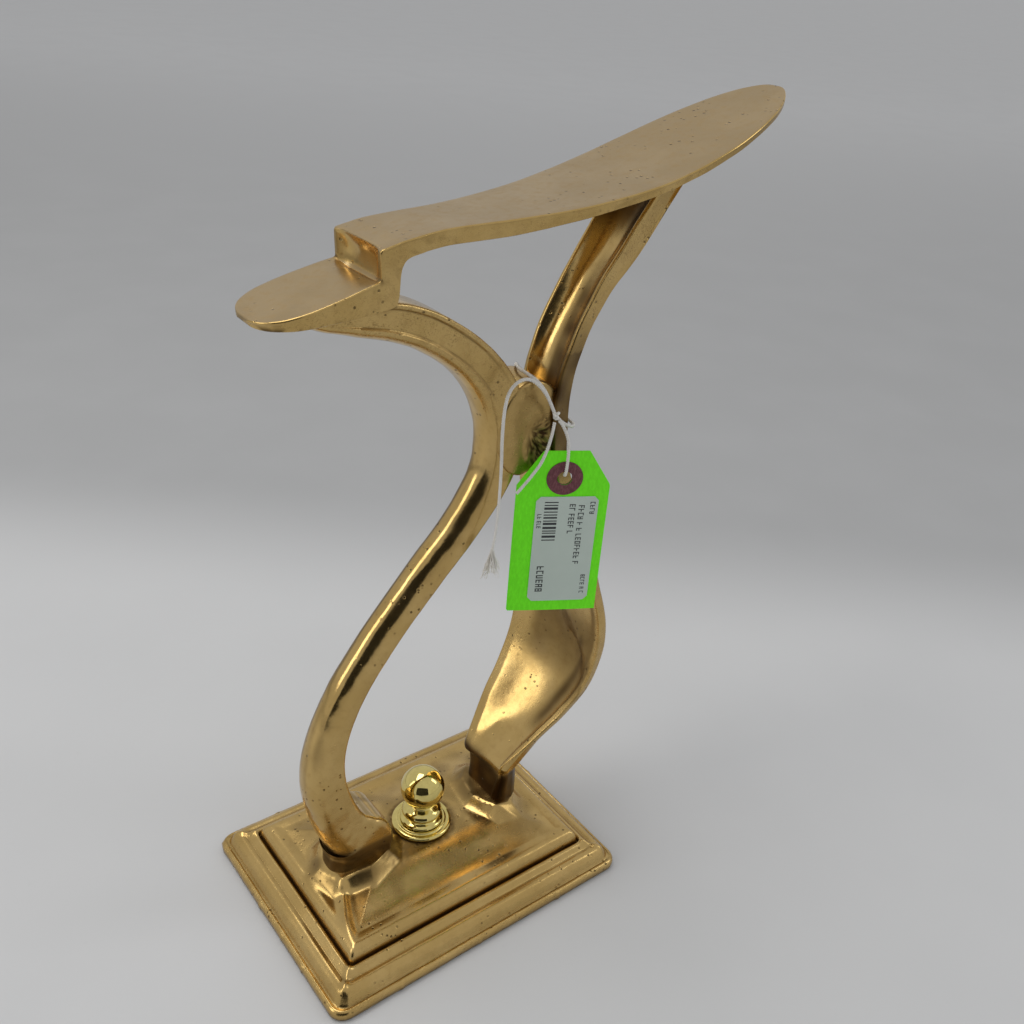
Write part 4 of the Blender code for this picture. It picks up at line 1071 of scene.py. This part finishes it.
def make_tag():
    top, bottom = HOLE_BELOW_TOP, HOLE_BELOW_TOP - TAG_LENGTH
    half, narrow = TAG_WIDTH / 2, TAG_TOP_WIDTH / 2
    card = [(half, bottom), (half, top - TAG_SHOULDER), (narrow, top), (-narrow, top),
            (-half, top - TAG_SHOULDER), (-half, bottom)]
    outline = spread_outline(card, 180)
    sheet_with_hole("tag_card_sheet", outline, hole_loop(outline, HOLE_RADIUS), -TAG_THICKNESS / 2,
                    TAG_THICKNESS / 2, neon_card(), "tag_card")
    fibre = maroon_fibre()
    round_edge = [(PATCH_RADIUS * math.cos(math.tau * k / 72), PATCH_RADIUS * math.sin(math.tau * k / 72))
                  for k in range(72)]
    for name, near, far in (("tag_patch_front", -0.62, -0.20), ("tag_patch_back", 0.20, 0.62)):
        sheet_with_hole(f"{name}_fibre", round_edge, hole_loop(round_edge, HOLE_RADIUS - 0.12), near, far,
                        fibre, name, rings=5)
    make_label()


def flat_strip(points, faces, x0, x1, z0, z1, y):
    """Add one thin printed rectangle, split along its length so that it follows the card."""
    steps = max(1, int(abs(z1 - z0) / 4))
    first = len(points)
    for k in range(steps + 1):
        z = z0 + (z1 - z0) * k / steps
        points += [tag_point(x0, y, z), tag_point(x1, y, z)]
    for k in range(steps):
        a = first + 2 * k
        faces.append((a, a + 1, a + 3, a + 2))


def mark_glyph(draw, points, faces, x, height, z, y):
    """One made-up character read down the label: a stem and some cross strokes. Returns the next z."""
    wide, thin = 0.54 * height, 0.17 * height
    flat_strip(points, faces, x, x + height, z, z - thin, y)
    for share in draw.sample((0.0, 0.43, 0.87), draw.choice((1, 2, 2, 3))):
        flat_strip(points, faces, x + share * height, x + share * height + thin, z, z - wide, y)
    if draw.random() < 0.3:
        flat_strip(points, faces, x, x + height, z - wide + thin, z - wide, y)
    return z - wide - height * draw.choice((0.2, 0.2, 0.2, 0.6))


LABEL = (-9.5, 13.5, -51.5, -7.4)        # left, right, bottom and top on the card, from the hole
LABEL_FRONT = -0.62


def make_label():
    """Pale label with rounded corners, and generic marks: a bar code and rows of strokes, no words."""
    left, right, bottom, top = LABEL
    corner, columns, rows = 1.6, 12, 26
    points, faces = [], []
    for side in (LABEL_FRONT, LABEL_FRONT + 0.24):
        for r in range(rows + 1):
            z = bottom + (top - bottom) * r / rows
            near_end = max(corner - min(z - bottom, top - z), 0.0)
            cut = corner - math.sqrt(max(corner ** 2 - near_end ** 2, 0.0))
            points += [tag_point(left + cut + (right - left - 2 * cut) * c / columns, side, z)
                       for c in range(columns + 1)]
    wide = columns + 1
    back = (rows + 1) * wide
    for r in range(rows):
        for c in range(columns):
            a = r * wide + c
            faces.append((a, a + 1, a + wide + 1, a + wide))
            faces.append((back + a, back + a + wide, back + a + wide + 1, back + a + 1))
        for a in (r * wide, r * wide + columns):
            faces.append((a, a + wide, back + a + wide, back + a))
    for c in range(columns):
        for a in (c, rows * wide + c):
            faces.append((a, a + 1, back + a + 1, back + a))
    make_piece("tag_label_paper", points, faces, label_paper(), "tag", "tag_label")

    draw = random.Random(3)
    marks, mark_faces = [], []
    y = LABEL_FRONT - 0.02
    z = top - 2.0
    while z > top - 18.5:
        bar = draw.choice((0.45, 0.45, 0.7, 0.95))
        flat_strip(marks, mark_faces, left + 3.2, left + 8.2, z, z - bar, y)
        z -= bar + draw.choice((0.45, 0.6, 0.75))
    for x, height, start, end in ((left + 0.9, 1.5, 7.0, 13.5), (right - 7.2, 2.1, 3.5, 28.0),
                                  (right - 10.6, 2.1, 3.0, 15.5), (right - 3.0, 1.8, 2.2, 6.2),
                                  (right - 3.4, 1.6, 33.0, 41.0), (left + 2.6, 2.6, 29.0, 39.0)):
        z = top - start
        while z > top - end:
            z = mark_glyph(draw, marks, mark_faces, x, height, z, y)
    make_piece("tag_label_print", marks, mark_faces, print_ink(), "tag")


# ---- surroundings ----
FLOOR_SIZE, FLOOR_LEVEL = 80.0, -0.0002  # metres; the floor lies just under the base


def floor_paper():
    """Pale studio paper, laid flat, with painted shading: lighter under the stand, a painted darker band
    where a sweep would start to rise, lighter again far away.
    """
    s = Shader("studio_paper")
    heading = (0.638, 0.770, 0.0)
    away = s.node("ShaderNodeVectorMath", {0: s.place, 1: heading}, operation="DOT_PRODUCT").outputs["Value"]
    tone = s.mix(s.ramp(away, 0.14, 0.30), (0.60, 0.603, 0.605), (0.40, 0.403, 0.405))
    tone = s.mix(s.ramp(away, 0.5, 2.6), tone, (0.60, 0.605, 0.61))
    mottled = s.mix(s.ramp(s.noise(0.012, 4.0), 0.3, 0.8, 0.0, 0.16), tone, (0.50, 0.505, 0.51))
    scuff = s.ramp(s.noise(0.10, 6.0, 0.7), 0.66, 0.72, 0.0, 0.10)
    s.set(Base_Color=s.mix(scuff, mottled, (0.42, 0.42, 0.42)), Roughness=0.6, Specular_IOR_Level=0.25)
    s.bumps((s.noise(0.5, 3.0), 0.03),)
    return s.material


def flat_sheet(name, width, height):
    """A mesh of one rectangle, centred on its own origin."""
    mesh = bpy.data.meshes.new(name)
    w, h = width / 2, height / 2
    mesh.from_pydata([(-w, -h, 0), (w, -h, 0), (w, h, 0), (-w, h, 0)], [], [(0, 1, 2, 3)])
    return mesh


def make_floor():
    mesh = flat_sheet("floor", FLOOR_SIZE, FLOOR_SIZE)
    mesh.materials.append(floor_paper())
    floor = add_to_scene("floor", mesh)
    floor.location.z = FLOOR_LEVEL


def aim(obj, target):
    obj.rotation_mode = "QUATERNION"
    obj.rotation_quaternion = (Vector(target) - obj.location).to_track_quat("-Z", "Y")


def make_softbox(name, place, target, width, height, watts, colour=(1.0, 1.0, 1.0)):
    data = bpy.data.lights.new(name, "AREA")
    data.shape = "RECTANGLE"
    data.size, data.size_y = width, height
    data.energy, data.color = watts, colour
    light = add_to_scene(name, data)
    light.location = place
    aim(light, target)


def make_dark_card(name, place, target, width, height, grey):
    """A dark card that only reflections see, so that the polished brass has something to show."""
    mesh = flat_sheet(name, width, height)
    s = Shader(name)
    s.set(Base_Color=(grey, grey, grey), Roughness=0.9)
    mesh.materials.append(s.material)
    card = add_to_scene(name, mesh)
    card.location = place
    aim(card, target)
    card.visible_camera = False
    card.visible_shadow = False
    card.visible_diffuse = False


def make_world():
    world = bpy.data.worlds.new("soft_room")
    world.use_nodes = True
    background = world.node_tree.nodes["Background"]
    background.inputs["Color"].default_value = (0.70, 0.70, 0.705, 1.0)
    background.inputs["Strength"].default_value = 0.80
    bpy.context.scene.world = world


# ---- build ----
make_camera()
COTTON = cotton()
tail, tail_line, tail_length = make_yarn("string_tail_yarn", STRING_TAIL, "stand", "string_tail", taper=0.25)
tassel = make_tassel()
knot = make_knot()
drop, _, _ = make_yarn("string_drop_yarn", STRING_DROP, "tag", "string_drop")
short, short_line, short_length = make_yarn("string_short_tail_yarn", STRING_SHORT_TAIL, "tag",
                                            "string_short_tail")
make_yarn("string_ring_yarn", STRING_RING, "stand", "string_ring", closed=True)

BRASS = cast_brass()
make_base(BRASS)
make_heel_leg(BRASS)
make_toe_leg(BRASS)
make_web(BRASS)
make_rest(BRASS)
MIRROR = polished_brass()
make_knob(MIRROR)
make_flange(MIRROR)
make_tag()

ZINC = zinc_steel()
for node in ("knob_washer", "knob_nut", "heel_foot_screw", "heel_foot_washer", "toe_foot_screw",
             "toe_foot_washer"):
    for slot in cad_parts[node].material_slots:
        slot.material = ZINC

make_floor()
make_world()
make_softbox("ceiling_box", (-0.25, 0.35, 1.4), (0, 0, 0.1), 0.9, 0.6, 5.0)
make_softbox("left_box", (-1.3, 0.35, 0.85), (0, 0, 0.12), 0.5, 0.9, 3.2, (1.0, 0.98, 0.94))
make_softbox("right_box", (1.1, -0.7, 0.95), (0, 0, 0.12), 0.35, 0.8, 1.8, (0.95, 0.97, 1.0))
make_dark_card("room_behind_camera", (-0.75, -1.0, 0.45), (0, 0, 0.15), 1.5, 0.9, 0.03)
bpy.context.scene.view_settings.view_transform = "Standard"
